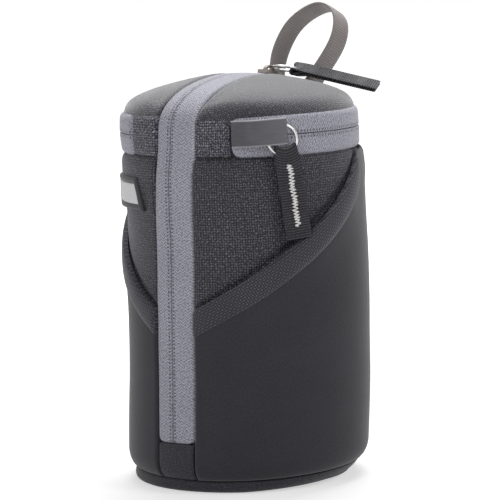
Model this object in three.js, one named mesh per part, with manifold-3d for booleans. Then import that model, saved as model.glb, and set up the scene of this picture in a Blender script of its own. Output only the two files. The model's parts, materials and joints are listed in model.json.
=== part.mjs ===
// A padded lens pouch: a round, foam-lined tube with a domed lid. A zip round the top frees the lid, which
// folds forward on a fabric hinge, and a second zip runs up the front and over the lid, so that the left
// wall swings open as well. Two stretch pockets wrap the wall and rise towards the back.
// Millimetres, +Z up, origin under the middle of the base, the front zip facing -Y. Angles are in degrees,
// counted from the front towards +X.
import * as THREE from "three";
import { mergeVertices } from "three/addons/utils/BufferGeometryUtils.js";
import Module from "manifold-3d";

const wasm = await Module();
wasm.setup();

const { degToRad, radToDeg, lerp, smoothstep } = THREE.MathUtils;

// Clearance between neighbouring pieces, and the angle that one facet of a round wall covers
const GAP = 0.3;
const FACET_ANGLE = 8;

// Wall and its layers
const WALL_RADIUS = 51.5;
const COVER = 1;
const FOAM = 4.5;
const LINING = 0.8;
const CORNER_HEIGHT = 8;
const CORNER_DEPTH = 4.4;
const SIDE_SEAM_ANGLE = 127;

// Heights of the seams. The band round the top is split by its zip, so both of its halves hang on the split
const BASE_SEAM = 6;
const SIDE_ZIP_END = 21;
const BAND_SPLIT = 152;
const LOWER_BAND = 9;
const UPPER_BAND = 8.5;
const DOME_RISE = 15.2;
const DOME_RIM_INSET = 1.3;

// Base
const BASE_FLAT_INSET = 7.5;
const BASE_BOARD = 2;
const BASE_FOAM = 4;

// Zips: tape, and a coil drawn as meshing teeth
const TAPE = 0.8;
const SIDE_ZIP_WIDTH = 18.9;
const TOP_ZIP_START = 30;
const TOP_ZIP_END = 331;
const LID_ZIP_INSET = 18.2;
const RIM_SHARE = 0.25;
const COIL = 1.8;
const COIL_WIDTH = 4;
const TOOTH_HALF_PITCH = 2.2;
const TOOTH_DEPTH = 2;
const TOOTH_GAP = 0.5;
const FOLD_CLEARANCE_ANGLE = 14;

// Stretch pockets and their binding
const POCKET_FRONT = 77.8;
const POCKET_SLOPE = 0.585;
const POCKET_CURVE = 0.0015;
const POCKET_STOP = 1.2;
const BINDING = 2.1;
const BINDING_WIDTH = 10;

// Label patch, left bare
const LABEL_START = -58;
const LABEL_END = -20.5;
const LABEL_LOW = 119.3;
const LABEL_HEIGHT = 14.8;
const LABEL = 1.2;

// Belt loop on the back
const BELT_LOOP_WIDTH = 38;
const BELT_LOOP = 1.6;
const BELT_LOOP_LOW = 30;
const BELT_LOOP_HIGH = 105;
const BELT_LOOP_SEWN = 9;
const BELT_LOOP_RAMP = 6;
const BELT_ROOM = 5.4;

// Zip sliders with their rings and webbing pulls
const SLIDER_LENGTH = 10.4;
const SLIDER_HEIGHT = 7.4;
const SLIDER_NOSE = 5;
const SLIDER_PLATE = 1.6;
const SLIDER_LIFT = 0.5;
const SLIDER_SEGMENTS = 8;
const BAIL_REACH = 3.8;
const BAIL_WIDTH = 1.8;
const BAIL_BAR = 0.9;
const RING_RADIUS = 5.9;
const RING_WIRE = 1.3;
const PULL_WIDTH = 10.5;
const PULL_LENGTH = 38;
const PULL_PLY = 1;
const PULL_EYE_WIDTH = 3.4;
const PULL_NECK = 4;
const PULL_SET_OUT = 0.8;
const TOP_SLIDER_ANGLE = 47.8;
const TOP_RING_SAG = 10;
const TOP_PULL_LEAN = 5;
const SIDE_SLIDER_PARK = 10;
const SIDE_RING_HEADING = 150;
const SIDE_PULL_HEADING = 115;
const SIDE_PULL_DROOP = 17;

// Garage tab over the parked top slider
const TAB_LENGTH = 23.4;
const TAB_HEIGHT = 11.2;
const TAB = 1;
const TAB_RISE_SHARE = 0.4;
const TAB_SEWN = 2;
const TAB_SET_UP = 1.2;

// Grab loop at the back of the lid: a strap that bulges to the right and leans back
const LOOP_FOOT_X = -1.1;
const LOOP_FOOT_INSET = 7.4;
const LOOP_HEADING = 80;
const LOOP_LEAN_BACK = 25.5;
const LOOP_FOOT_LEFT = 11;
const LOOP_FOOT_RIGHT = 8.5;
const LOOP_BULGE_LEFT = 15;
const LOOP_BULGE_LEFT_HEIGHT = 18.5;
const LOOP_SHOULDER_LEFT = 10.4;
const LOOP_SHOULDER_LEFT_HEIGHT = 32.6;
const LOOP_CREST = 3.6;
const LOOP_HEIGHT = 40.5;
const LOOP_SHOULDER_RIGHT = 14.8;
const LOOP_SHOULDER_RIGHT_HEIGHT = 36;
const LOOP_BULGE_RIGHT = 18.2;
const LOOP_BULGE_RIGHT_HEIGHT = 25;
const LOOP_STRAP_WIDTH = 10;
const LOOP_STRAP = 1.4;
const LOOP_STEPS = 30;

// Radii, heights and places worked out from these sizes
const coverIn = WALL_RADIUS - COVER;
const foamOut = coverIn - GAP;
const foamIn = foamOut - FOAM;
const liningOut = foamIn - GAP;
const liningIn = liningOut - LINING;
const tapeIn = WALL_RADIUS - TAPE;
const coilOut = tapeIn - GAP;
const coilIn = coilOut - COIL;
const pocketIn = WALL_RADIUS + GAP;
const pocketOut = pocketIn + COVER;
const bindingOut = pocketIn + BINDING;
const seam = GAP / 2;
const zipHalf = SIDE_ZIP_WIDTH / 2;
const zipEdge = radToDeg(zipHalf / WALL_RADIUS);
const besideZip = zipEdge + radToDeg(GAP / WALL_RADIUS);
const meeting = radToDeg(seam / WALL_RADIUS);
const coilRoom = COIL_WIDTH + 2 * GAP;
const besideCoil = radToDeg(coilRoom / foamIn);
const foldGap = radToDeg(seam / foamIn);
const bandLow = BAND_SPLIT - LOWER_BAND;
const bandTop = BAND_SPLIT + UPPER_BAND;
const domeRim = WALL_RADIUS - DOME_RIM_INSET;
const lidZipEnd = domeRim - LID_ZIP_INSET;
const sideSliderBack = lidZipEnd - SIDE_SLIDER_PARK;
const loopFootY = domeRim - LOOP_FOOT_INSET;
const baseFlat = WALL_RADIUS - BASE_FLAT_INSET;
const domeRadius = (domeRim ** 2 + DOME_RISE ** 2) / (2 * DOME_RISE);
const domeCentre = bandTop + DOME_RISE - domeRadius;

const fabric = (color, roughness = 0.9) => new THREE.MeshStandardMaterial({ color, roughness, metalness: 0 });
const ballistic = () => fabric(0x34333a);
const smoothCloth = () => fabric(0x302f35);
const ribbedTape = () => fabric(0x36343a);
const zipTape = () => fabric(0x7d7b86);
const coilNylon = () => fabric(0x2a2a2e, 0.5);
const foam = () => fabric(0x55555a, 0.95);
const lining = () => fabric(0x6e6e74);
const webbing = () => fabric(0x26262a);
const metal = () => new THREE.MeshStandardMaterial({ color: 0xb9b6b0, roughness: 0.25, metalness: 1 });

const pouch = new THREE.Group();

function add(parent, name, geometry, material) {
  const mesh = new THREE.Mesh(geometry, material);
  mesh.name = name;
  parent.add(mesh);
  return mesh;
}

// A point at a radius, an angle from the front and a height.
function around(radius, angle, height) {
  return new THREE.Vector3(radius * Math.sin(degToRad(angle)), -radius * Math.cos(degToRad(angle)), height);
}

// A flat blank cut into columns and rows and bent to shape: place() maps u, v and w, each from 0 to 1.
function bent(columns, rows, place) {
  const blank = new THREE.BoxGeometry(1, 1, 1, columns, rows, 1);
  const position = blank.getAttribute("position");
  for (let i = 0; i < position.count; i += 1) {
    const at = place(position.getX(i) + 0.5, position.getY(i) + 0.5, position.getZ(i) + 0.5);
    position.setXYZ(i, at.x, at.y, at.z);
  }
  return blank;
}

function solid(geometry) {
  const bare = new THREE.BufferGeometry();
  bare.setAttribute("position", geometry.getAttribute("position"));
  bare.setIndex(geometry.getIndex());
  const merged = mergeVertices(bare, 1e-4);
  const vertProperties = merged.getAttribute("position").array;
  const triVerts = Uint32Array.from(merged.getIndex().array);
  return new wasm.Manifold(new wasm.Mesh({ numProp: 3, vertProperties, triVerts }));
}

function geometryOf(body) {
  const mesh = body.getMesh();
  const geometry = new THREE.BufferGeometry();
  geometry.setAttribute("position", new THREE.BufferAttribute(mesh.vertProperties, mesh.numProp));
  geometry.setIndex(new THREE.BufferAttribute(mesh.triVerts, 1));
  return geometry;
}

// Angles from one edge of a panel to the other, a facet apart.
function spread(from, to) {
  const steps = Math.max(1, Math.ceil((to - from) / FACET_ANGLE));
  return Array.from({ length: steps + 1 }, (_, i) => lerp(from, to, i / steps));
}

const mirrored = (angles) => angles.map((angle) => -angle).reverse();

// How far the wall draws in at a height, rounding under to the base seam.
function drawIn(height) {
  const up = Math.min(1, Math.max(0, (height - BASE_SEAM) / CORNER_HEIGHT));
  return CORNER_DEPTH * (1 - Math.sqrt(1 - (1 - up) ** 2));
}

// A layer that follows the rounded foot of the wall, one that stands straight, and the padding between.
const rounded = (inner, outer) => (height) => [inner - drawIn(height), outer - drawIn(height)];
const upright = (inner, outer) => () => [inner, outer];
const padding = (height) => [foamIn, foamOut - drawIn(height)];

// Heights for a panel's rows: a straight panel has two, a footed one also follows the rounded corner.
const straight = (low, high) => () => [low, high];
const cornerRows = [0.06, 0.2, 0.5, 1].map((share) => BASE_SEAM + share * CORNER_HEIGHT);
const footed = (high) => (angle) => [...cornerRows, high(angle)];

// A panel bent round the pouch through a list of angles.
function wallPanel(angles, levels, faces) {
  const columns = angles.length - 1;
  const rows = levels(angles[0]).length - 1;
  return bent(columns, rows, (u, v, w) => {
    const angle = angles[Math.round(u * columns)];
    const height = levels(angle)[Math.round(v * rows)];
    const [inner, outer] = faces(height);
    return around(lerp(inner, outer, w), angle, height);
  });
}

// One row of zip teeth on one side of the meeting line, which both rows zigzag across alike, so they mesh.
function toothRow(side, from, to, place) {
  const first = Math.ceil(from / TOOTH_HALF_PITCH);
  const count = Math.floor(to / TOOTH_HALF_PITCH) - first;
  return bent(1, count, (u, v, w) => {
    const step = first + Math.round(v * count);
    const edge = (step % 2 === 0 ? TOOTH_DEPTH : -TOOTH_DEPTH) / 2 + (side * TOOTH_GAP) / 2;
    const across = side > 0 ? lerp(edge, COIL_WIDTH, u) : lerp(-COIL_WIDTH, edge, u);
    return place(step * TOOTH_HALF_PITCH, across, w);
  });
}

function sideZipTeeth(side, low, high) {
  return toothRow(side, low, high, (along, across, w) =>
    around(lerp(coilIn, coilOut, w), radToDeg(across / coilOut), along),
  );
}

function topZipTeeth(side, from, to) {
  const arc = degToRad(1) * coilOut;
  return toothRow(side, -to * arc, -from * arc, (along, across, w) =>
    around(lerp(coilIn, coilOut, w), -along / arc, BAND_SPLIT + across),
  );
}

// Height of the pocket mouth at an angle: lowest beside the side zip, rising towards the back.
function pocketMouth(angle) {
  const along = degToRad(Math.abs(angle) - zipEdge) * pocketOut;
  return POCKET_FRONT + POCKET_SLOPE * along + POCKET_CURVE * along ** 2;
}

// Where the binding's lower edge lies below the mouth at an angle.
function bindingDrop(angle) {
  const along = degToRad(Math.abs(angle) - zipEdge) * pocketOut;
  return BINDING_WIDTH * Math.hypot(1, POCKET_SLOPE + 2 * POCKET_CURVE * along);
}

// The angle where the mouth reaches the top band.
function pocketTopAngle() {
  const rise = bandLow - POCKET_STOP - POCKET_FRONT;
  const along = (Math.sqrt(POCKET_SLOPE ** 2 + 4 * POCKET_CURVE * rise) - POCKET_SLOPE) / (2 * POCKET_CURVE);
  return zipEdge + radToDeg(along / pocketOut);
}

const pocketTop = pocketTopAngle();
const pocketStep = radToDeg((2 * GAP) / pocketOut);
const pocketAngles = [
  ...spread(besideZip, pocketTop - seam),
  ...spread(pocketTop + pocketStep, SIDE_SEAM_ANGLE - foldGap),
];
const pocketHeight = (angle) =>
  Math.abs(angle) < pocketTop ? pocketMouth(angle) - bindingDrop(angle) - GAP : bandLow - seam;
const bindingRows = (angle) => [pocketMouth(angle) - bindingDrop(angle), pocketMouth(angle)];

function makeBase() {
  const outline = [new THREE.Vector2(0, 0), new THREE.Vector2(baseFlat, 0)];
  const lip = BASE_SEAM - seam;
  const rim = pocketOut - drawIn(cornerRows[0]);
  const roundSteps = 4;
  for (let i = 1; i <= roundSteps; i += 1) {
    const turn = (i / roundSteps) * (Math.PI / 2);
    const radius = baseFlat + (rim - baseFlat) * Math.sin(turn);
    outline.push(new THREE.Vector2(radius, lip * (1 - Math.cos(turn))));
  }
  outline.push(new THREE.Vector2(rim - 2 * COVER, lip));
  outline.push(new THREE.Vector2(baseFlat, 2 * COVER));
  outline.push(new THREE.Vector2(baseFlat - COVER, COVER));
  outline.push(new THREE.Vector2(0, COVER));
  const turns = 360 / FACET_ANGLE;
  const upright90 = new THREE.Group();
  upright90.rotation.x = Math.PI / 2;
  pouch.add(upright90);
  add(upright90, "base_cover", new THREE.LatheGeometry(outline, turns), smoothCloth());

  const disc = (radius, low, high) => {
    const edge = [
      [0, low],
      [radius, low],
      [radius, high],
      [0, high],
    ];
    return new THREE.LatheGeometry(edge.map(([r, z]) => new THREE.Vector2(r, z)), turns);
  };
  const inside = liningIn - GAP;
  const board = COVER + GAP;
  const padLow = board + BASE_BOARD + GAP;
  const liningLow = padLow + BASE_FOAM + GAP;
  const flat = baseFlat - COVER - GAP;
  add(upright90, "base_board", disc(flat, board, board + BASE_BOARD), fabric(0x1c1c1e, 0.6));
  add(upright90, "base_foam", disc(flat, padLow, padLow + BASE_FOAM), foam());
  add(upright90, "base_lining", disc(inside, liningLow, liningLow + LINING), lining());
}

function makeFixedWall() {
  const right = spread(besideZip, SIDE_SEAM_ANGLE - foldGap);
  const back = spread(SIDE_SEAM_ANGLE + foldGap, 360 - SIDE_SEAM_ANGLE - foldGap);
  const padded = spread(besideCoil, 360 - SIDE_SEAM_ANGLE - foldGap);
  const lined = spread(meeting, 360 - SIDE_SEAM_ANGLE - foldGap);
  const underBand = footed(() => bandLow - seam);
  const foamRows = footed(() => BAND_SPLIT - coilRoom);
  const liningRows = straight(cornerRows[0], BAND_SPLIT - seam);
  add(pouch, "right_wall_cover", wallPanel(right, underBand, rounded(coverIn, WALL_RADIUS)), ballistic());
  add(pouch, "back_wall_cover", wallPanel(back, underBand, rounded(coverIn, pocketOut)), smoothCloth());
  add(pouch, "wall_foam", wallPanel(padded, foamRows, padding), foam());
  add(pouch, "wall_lining", wallPanel(lined, liningRows, upright(liningIn, liningOut)), lining());
  const pocket = wallPanel(pocketAngles, footed(pocketHeight), rounded(pocketIn, pocketOut));
  add(pouch, "right_pocket", pocket, smoothCloth());
  const bound = spread(besideZip, pocketTop - seam);
  const binding = wallPanel(bound, bindingRows, upright(pocketIn, bindingOut));
  add(pouch, "right_pocket_binding", binding, ribbedTape());
}

function makeFoot() {
  const left = spread(-SIDE_SEAM_ANGLE + foldGap, -besideZip);
  const front = spread(-zipEdge, zipEdge);
  const inner = spread(-SIDE_SEAM_ANGLE + foldGap, besideCoil - 2 * foldGap);
  const lined = spread(-SIDE_SEAM_ANGLE + foldGap, -meeting);
  const top = SIDE_ZIP_END - seam;
  const rows = footed(() => top);
  const liningRows = straight(cornerRows[0], top);
  add(pouch, "left_foot_cover", wallPanel(left, rows, rounded(coverIn, pocketOut)), smoothCloth());
  add(pouch, "zip_end_patch", wallPanel(front, rows, rounded(coverIn, pocketOut)), ballistic());
  add(pouch, "foot_foam", wallPanel(inner, rows, padding), foam());
  add(pouch, "foot_lining", wallPanel(lined, liningRows, upright(liningIn, liningOut)), lining());
}

function makeLeftFlap() {
  const flap = new THREE.Group();
  pouch.add(flap);
  const low = SIDE_ZIP_END + seam;
  const high = bandLow - seam;
  const whole = spread(-SIDE_SEAM_ANGLE + foldGap, -besideZip);
  const padded = spread(-SIDE_SEAM_ANGLE + foldGap, -besideCoil);
  const lined = spread(-SIDE_SEAM_ANGLE + foldGap, -meeting);
  const rows = straight(low, high);
  const pocketRows = (angle) => [low, pocketHeight(angle)];
  add(flap, "left_wall_cover", wallPanel(whole, rows, upright(coverIn, WALL_RADIUS)), ballistic());
  add(flap, "left_wall_foam", wallPanel(padded, rows, upright(foamIn, foamOut)), foam());
  add(flap, "left_wall_lining", wallPanel(lined, rows, upright(liningIn, liningOut)), lining());
  const pocket = wallPanel(mirrored(pocketAngles), pocketRows, upright(pocketIn, pocketOut));
  add(flap, "left_pocket", pocket, smoothCloth());
  const bound = mirrored(spread(besideZip, pocketTop - seam));
  const binding = wallPanel(bound, bindingRows, upright(pocketIn, bindingOut));
  add(flap, "left_pocket_binding", binding, ribbedTape());

  const edge = spread(-zipEdge, -meeting);
  add(flap, "side_zip_tape_left", wallPanel(edge, rows, upright(tapeIn, WALL_RADIUS)), zipTape());
  add(flap, "side_zip_coil_left", sideZipTeeth(-1, low, high), coilNylon());
  const topEdge = spread(-SIDE_SEAM_ANGLE + foldGap, TOP_ZIP_END - 360 - foldGap);
  const topRows = straight(bandLow + seam, BAND_SPLIT - seam);
  add(flap, "top_zip_tape_left", wallPanel(topEdge, topRows, upright(tapeIn, WALL_RADIUS)), zipTape());
  const free = 360 - SIDE_SEAM_ANGLE + FOLD_CLEARANCE_ANGLE;
  add(flap, "top_zip_coil_left", topZipTeeth(-1, free, TOP_ZIP_END), coilNylon());

  const patch = spread(LABEL_START, LABEL_END);
  const patchRows = straight(LABEL_LOW, LABEL_LOW + LABEL_HEIGHT);
  const label = wallPanel(patch, patchRows, upright(pocketIn, pocketIn + LABEL));
  add(flap, "label_patch", label, fabric(0xd9d9da, 0.7));
}

function makeFixedZips() {
  const low = SIDE_ZIP_END + seam;
  const high = BAND_SPLIT - seam;
  const collar = straight(bandLow + seam, high);
  const face = upright(tapeIn, WALL_RADIUS);
  const right = spread(meeting, zipEdge);
  add(pouch, "side_zip_tape_right", wallPanel(right, straight(low, high), face), zipTape());
  add(pouch, "side_zip_coil_right", sideZipTeeth(1, low, BAND_SPLIT - COIL_WIDTH), coilNylon());
  add(pouch, "side_zip_tape_collar", wallPanel(mirrored(right), collar, face), zipTape());
  const top = spread(TOP_ZIP_START, 360 - SIDE_SEAM_ANGLE - foldGap);
  add(pouch, "top_zip_tape_lower", wallPanel(top, collar, face), zipTape());
  const free = 360 - SIDE_SEAM_ANGLE + FOLD_CLEARANCE_ANGLE - 2 * foldGap;
  add(pouch, "top_zip_coil_lower", topZipTeeth(-1, TOP_ZIP_START, free), coilNylon());
  const bandRight = spread(besideZip, TOP_ZIP_START - 2 * foldGap);
  const bandLeft = spread(TOP_ZIP_END - 360 + foldGap, -besideZip);
  add(pouch, "hinge_band_lower_right", wallPanel(bandRight, collar, face), ballistic());
  add(pouch, "hinge_band_lower_left", wallPanel(bandLeft, collar, face), ballistic());
}

// The strap that a belt slides behind: sewn flat at both ends and held off the back in between.
function makeBeltLoop() {
  const sewnLow = BELT_LOOP_LOW + BELT_LOOP_SEWN;
  const sewnHigh = BELT_LOOP_HIGH - BELT_LOOP_SEWN;
  const clearLow = sewnLow + BELT_LOOP_RAMP;
  const clearHigh = sewnHigh - BELT_LOOP_RAMP;
  const rows = [BELT_LOOP_LOW, sewnLow, clearLow, clearHigh, sewnHigh, BELT_LOOP_HIGH];
  const off = [0, 0, 1, 1, 0, 0];
  const backFace = pocketOut + GAP;
  const columns = 8;
  const last = rows.length - 1;
  const strap = bent(columns, last, (u, v, w) => {
    const row = Math.round(v * last);
    const x = lerp(BELT_LOOP_WIDTH / 2, -BELT_LOOP_WIDTH / 2, u);
    const onBack = Math.sqrt(backFace ** 2 - x ** 2);
    const y = lerp(onBack, backFace + BELT_ROOM, off[row]) + w * BELT_LOOP;
    return new THREE.Vector3(x, y, rows[row]);
  });
  add(pouch, "belt_loop", strap, webbing());
}

// The front zip's line over the lid, as a path of y and z: up the band, round the edge, along the dome.
function lidZipPath() {
  const rimTurn = Math.PI - Math.acos((domeRim - COIL_WIDTH) / domeRadius);
  const endTurn = Math.acos(lidZipEnd / domeRadius);
  const landing = new THREE.Vector2(Math.cos(rimTurn), Math.sin(rimTurn)).multiplyScalar(domeRadius);
  landing.y += domeCentre;
  const path = new THREE.Path();
  path.moveTo(-WALL_RADIUS, BAND_SPLIT + seam);
  path.lineTo(-WALL_RADIUS, (BAND_SPLIT + bandTop) / 2);
  path.quadraticCurveTo(-WALL_RADIUS, bandTop, landing.x, landing.y);
  path.absarc(0, domeCentre, domeRadius, rimTurn, endTurn, true);
  return path;
}

// A strip that follows that line, between two offsets across it and two depths below the outer face.
function alongLid(path, along, across, depth) {
  const share = along / path.getLength();
  const at = path.getPointAt(share);
  const ahead = path.getTangentAt(share);
  const curve = lerp(1 / WALL_RADIUS, 1 / domeRadius, smoothstep(share, 0, RIM_SHARE));
  const down = depth + (across ** 2 * curve) / 2;
  return new THREE.Vector3(across, at.x + ahead.y * down, at.y - ahead.x * down);
}

function domeShell(radius, thickness, skirt) {
  const turns = 360 / FACET_ANGLE;
  const outer = domeRadius - radius.below;
  const inner = outer - thickness;
  const steps = 5;
  const rimOut = Math.asin(radius.rim / outer);
  const rimIn = Math.asin((radius.rim - (skirt ? thickness : 0)) / inner);
  const arc = (size, from, to) =>
    Array.from({ length: steps + 1 }, (_, i) => {
      const turn = lerp(from, to, i / steps);
      return new THREE.Vector2(size * Math.sin(turn), domeCentre + size * Math.cos(turn));
    });
  const under = arc(inner, 0, rimIn);
  const over = arc(outer, rimOut, 0);
  under[0].x = 0;
  over[steps].x = 0;
  const hem = skirt
    ? [new THREE.Vector2(radius.rim - thickness, skirt), new THREE.Vector2(radius.rim, skirt)]
    : [];
  return new THREE.LatheGeometry([...under, ...hem, ...over], turns).rotateX(Math.PI / 2);
}

// Cuts the lid's zip slot, from the front edge to behind the middle.
function slotted(geometry, halfWidth, back) {
  const reach = WALL_RADIUS + back;
  const cutter = new THREE.BoxGeometry(2 * halfWidth, reach, domeRadius);
  cutter.translate(0, back - reach / 2, BAND_SPLIT);
  return geometryOf(solid(geometry).subtract(solid(cutter)));
}

function makeLid() {
  const lid = new THREE.Group();
  pouch.add(lid);
  const coverUnder = COVER + GAP;
  const foamUnder = coverUnder + FOAM + GAP;
  const coverRim = { rim: domeRim - GAP, below: 0 };
  const foamRim = { rim: coilIn - GAP, below: coverUnder };
  const liningRim = { rim: liningOut, below: foamUnder };
  const slot = zipHalf + GAP;
  add(lid, "lid_cover", slotted(domeShell(coverRim, COVER), slot, lidZipEnd + GAP), ballistic());
  add(lid, "lid_foam", slotted(domeShell(foamRim, FOAM), coilRoom, lidZipEnd), foam());
  add(lid, "lid_lining", domeShell(liningRim, LINING, BAND_SPLIT + seam), lining());

  const face = upright(tapeIn, WALL_RADIUS);
  const rim = straight(BAND_SPLIT + seam, bandTop - seam);
  const top = spread(TOP_ZIP_START, TOP_ZIP_END - foldGap);
  add(lid, "top_zip_tape_upper", wallPanel(top, rim, face), zipTape());
  add(lid, "top_zip_coil_upper", topZipTeeth(1, TOP_ZIP_START, TOP_ZIP_END), coilNylon());
  const bandRight = spread(besideZip, TOP_ZIP_START - 2 * foldGap);
  const bandLeft = spread(TOP_ZIP_END - 360 + foldGap, -besideZip);
  add(lid, "hinge_band_upper_right", wallPanel(bandRight, rim, face), ballistic());
  add(lid, "hinge_band_upper_left", wallPanel(bandLeft, rim, face), ballistic());

  const path = lidZipPath();
  const length = path.getLength();
  const rows = Math.floor(length / TOOTH_HALF_PITCH);
  for (const [name, side] of [["left", -1], ["right", 1]]) {
    const edges = side > 0 ? [seam, zipHalf] : [-zipHalf, -seam];
    const strip = bent(2, rows, (u, v, w) => alongLid(path, v * length, lerp(...edges, u), (1 - w) * TAPE));
    add(lid, "lid_zip_tape_" + name, strip, zipTape());
    const teeth = toothRow(side, COIL_WIDTH, length, (along, across, w) =>
      alongLid(path, along, across, TAPE + GAP + (1 - w) * COIL),
    );
    add(lid, "lid_zip_coil_" + name, teeth, coilNylon());
  }
  return lid;
}

// A slider lying in the XY plane with its length along X: a plate with a narrowed nose and a bail on top.
function sliderBody() {
  const half = SLIDER_LENGTH / 2;
  const side = SLIDER_HEIGHT / 2;
  const nose = SLIDER_NOSE / 2;
  const plate = new THREE.Shape();
  plate.moveTo(-half, -nose);
  plate.lineTo(half - side, -side);
  plate.absarc(half - side / 2, -side / 2, side / 2, -Math.PI / 2, 0);
  plate.absarc(half - side / 2, side / 2, side / 2, 0, Math.PI / 2);
  plate.lineTo(half - side, side);
  plate.lineTo(-half, nose);
  const plain = { bevelEnabled: false, curveSegments: SLIDER_SEGMENTS };
  const body = new THREE.ExtrudeGeometry(plate, { ...plain, depth: SLIDER_PLATE });

  const room = RING_WIRE + 2 * GAP;
  const bail = new THREE.Shape();
  bail.moveTo(BAIL_REACH, 0);
  bail.absellipse(0, 0, BAIL_REACH, room + BAIL_BAR + SLIDER_PLATE / 2, 0, Math.PI, false);
  bail.lineTo(-BAIL_REACH + BAIL_BAR, 0);
  bail.absellipse(0, 0, BAIL_REACH - BAIL_BAR, room + SLIDER_PLATE / 2, Math.PI, 0, true);
  const arch = new THREE.ExtrudeGeometry(bail, { ...plain, depth: BAIL_WIDTH });
  arch.translate(0, 0, -BAIL_WIDTH / 2).rotateX(Math.PI / 2).translate(0, 0, SLIDER_PLATE / 2);
  return geometryOf(solid(body).add(solid(arch)));
}

const ringCentre = SLIDER_PLATE + GAP + RING_WIRE / 2;
const ringGeometry = () => new THREE.TorusGeometry(RING_RADIUS, RING_WIRE / 2, 6, 24);

// The eye of a pull leaves room for the bend of the ring through it.
const ringSag = RING_RADIUS - Math.sqrt(RING_RADIUS ** 2 - (PULL_EYE_WIDTH / 2) ** 2);
const eyeIn = RING_WIRE / 2 + ringSag + GAP / 2;
const eyeOut = eyeIn + PULL_PLY;

// A webbing pull folded round its ring: a gathered eye at the origin, and below it two plies that run down
// -Y, with Z across them. They are set out along X, so that they pass over the wall's binding.
function pullGeometry() {
  const back = PULL_SET_OUT - PULL_PLY;
  const front = PULL_SET_OUT + PULL_PLY;
  const outline = new THREE.Shape();
  outline.absarc(0, 0, eyeOut, 0, Math.PI);
  outline.quadraticCurveTo(-eyeOut, -PULL_NECK / 2, back, -PULL_NECK);
  outline.lineTo(back, -2 * PULL_NECK);
  outline.lineTo(front, -2 * PULL_NECK);
  outline.lineTo(front, -PULL_NECK);
  outline.quadraticCurveTo(eyeOut, -PULL_NECK / 2, eyeOut, 0);
  const hole = new THREE.Path();
  hole.absarc(0, 0, eyeIn, 0, 2 * Math.PI, true);
  outline.holes.push(hole);
  const plain = { bevelEnabled: false, curveSegments: SLIDER_SEGMENTS };
  const neck = new THREE.ExtrudeGeometry(outline, { ...plain, depth: PULL_EYE_WIDTH });
  neck.translate(0, 0, -PULL_EYE_WIDTH / 2);
  const length = PULL_LENGTH - PULL_NECK;
  const plies = new THREE.BoxGeometry(2 * PULL_PLY, length, PULL_WIDTH);
  plies.translate(PULL_SET_OUT, -PULL_NECK - length / 2, 0);
  return geometryOf(solid(neck).add(solid(plies)));
}

const topPlate = WALL_RADIUS + SLIDER_LIFT;
const bailTop = SLIDER_PLATE + RING_WIRE + 2 * GAP + BAIL_BAR;

// Groups whose X runs round the wall, Y up and Z outwards, standing at an angle, radius and height.
function onWall(angle, radius, height) {
  const turn = new THREE.Group();
  turn.rotation.z = degToRad(angle);
  const stand = new THREE.Group();
  stand.position.set(0, -radius, height);
  stand.rotation.x = Math.PI / 2;
  turn.add(stand);
  pouch.add(turn);
  return stand;
}

function makeTopSlider() {
  const slider = onWall(TOP_SLIDER_ANGLE, topPlate, BAND_SPLIT);
  add(slider, "top_slider_body", sliderBody(), metal());
  const ring = add(slider, "top_slider_ring", ringGeometry(), metal());
  const sag = degToRad(TOP_RING_SAG);
  ring.position.set(RING_RADIUS * Math.cos(sag), -RING_RADIUS * Math.sin(sag), ringCentre);
  const hang = new THREE.Group();
  hang.position.set(ring.position.x, ring.position.y - RING_RADIUS, ringCentre);
  hang.rotation.z = degToRad(TOP_PULL_LEAN);
  slider.add(hang);
  add(hang, "top_pull", pullGeometry(), webbing()).rotation.y = -Math.PI / 2;
}

// The tab lies over the slider, sewn along one short edge at the end of the top zip.
function makeGarageTab() {
  const sewn = WALL_RADIUS + TAB_SEWN;
  const eyeReach = Math.hypot(topPlate + ringCentre + eyeOut, RING_RADIUS + PULL_EYE_WIDTH / 2);
  const free = Math.max(topPlate + bailTop, eyeReach) + GAP;
  const end = TOP_ZIP_START + radToDeg(TAB_LENGTH / free);
  const columns = 10;
  const tab = bent(columns, 1, (u, v, w) => {
    const radius = lerp(sewn, free, smoothstep(u, 0, TAB_RISE_SHARE)) + w * TAB;
    const height = BAND_SPLIT + TAB_SET_UP + (v - 0.5) * TAB_HEIGHT;
    return around(radius, lerp(TOP_ZIP_START, end, u), height);
  });
  add(pouch, "garage_tab", tab, fabric(0x4a494e, 0.6));
}

function makeSideSlider() {
  const pivot = new THREE.Group();
  pivot.position.set(0, 0, domeCentre);
  pivot.rotation.x = -Math.asin(sideSliderBack / domeRadius);
  pouch.add(pivot);
  const slider = new THREE.Group();
  slider.position.set(0, 0, domeRadius + SLIDER_LIFT);
  slider.rotation.z = Math.PI / 2;
  pivot.add(slider);
  add(slider, "side_slider_body", sliderBody(), metal());

  const swing = new THREE.Group();
  swing.position.set(0, 0, domeRadius + SLIDER_LIFT + ringCentre);
  pivot.add(swing);
  const heading = (angle) => around(RING_RADIUS, angle, 0);
  const middle = heading(SIDE_RING_HEADING);
  const ring = add(swing, "side_slider_ring", ringGeometry(), metal());
  ring.position.copy(middle);
  const hang = new THREE.Group();
  hang.position.copy(middle.add(heading(SIDE_PULL_HEADING)));
  hang.rotation.z = degToRad(SIDE_PULL_HEADING);
  swing.add(hang);
  const droop = new THREE.Group();
  droop.rotation.x = degToRad(SIDE_PULL_DROOP);
  hang.add(droop);
  add(droop, "side_pull", pullGeometry(), webbing()).rotation.y = -Math.PI / 2;
}

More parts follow.
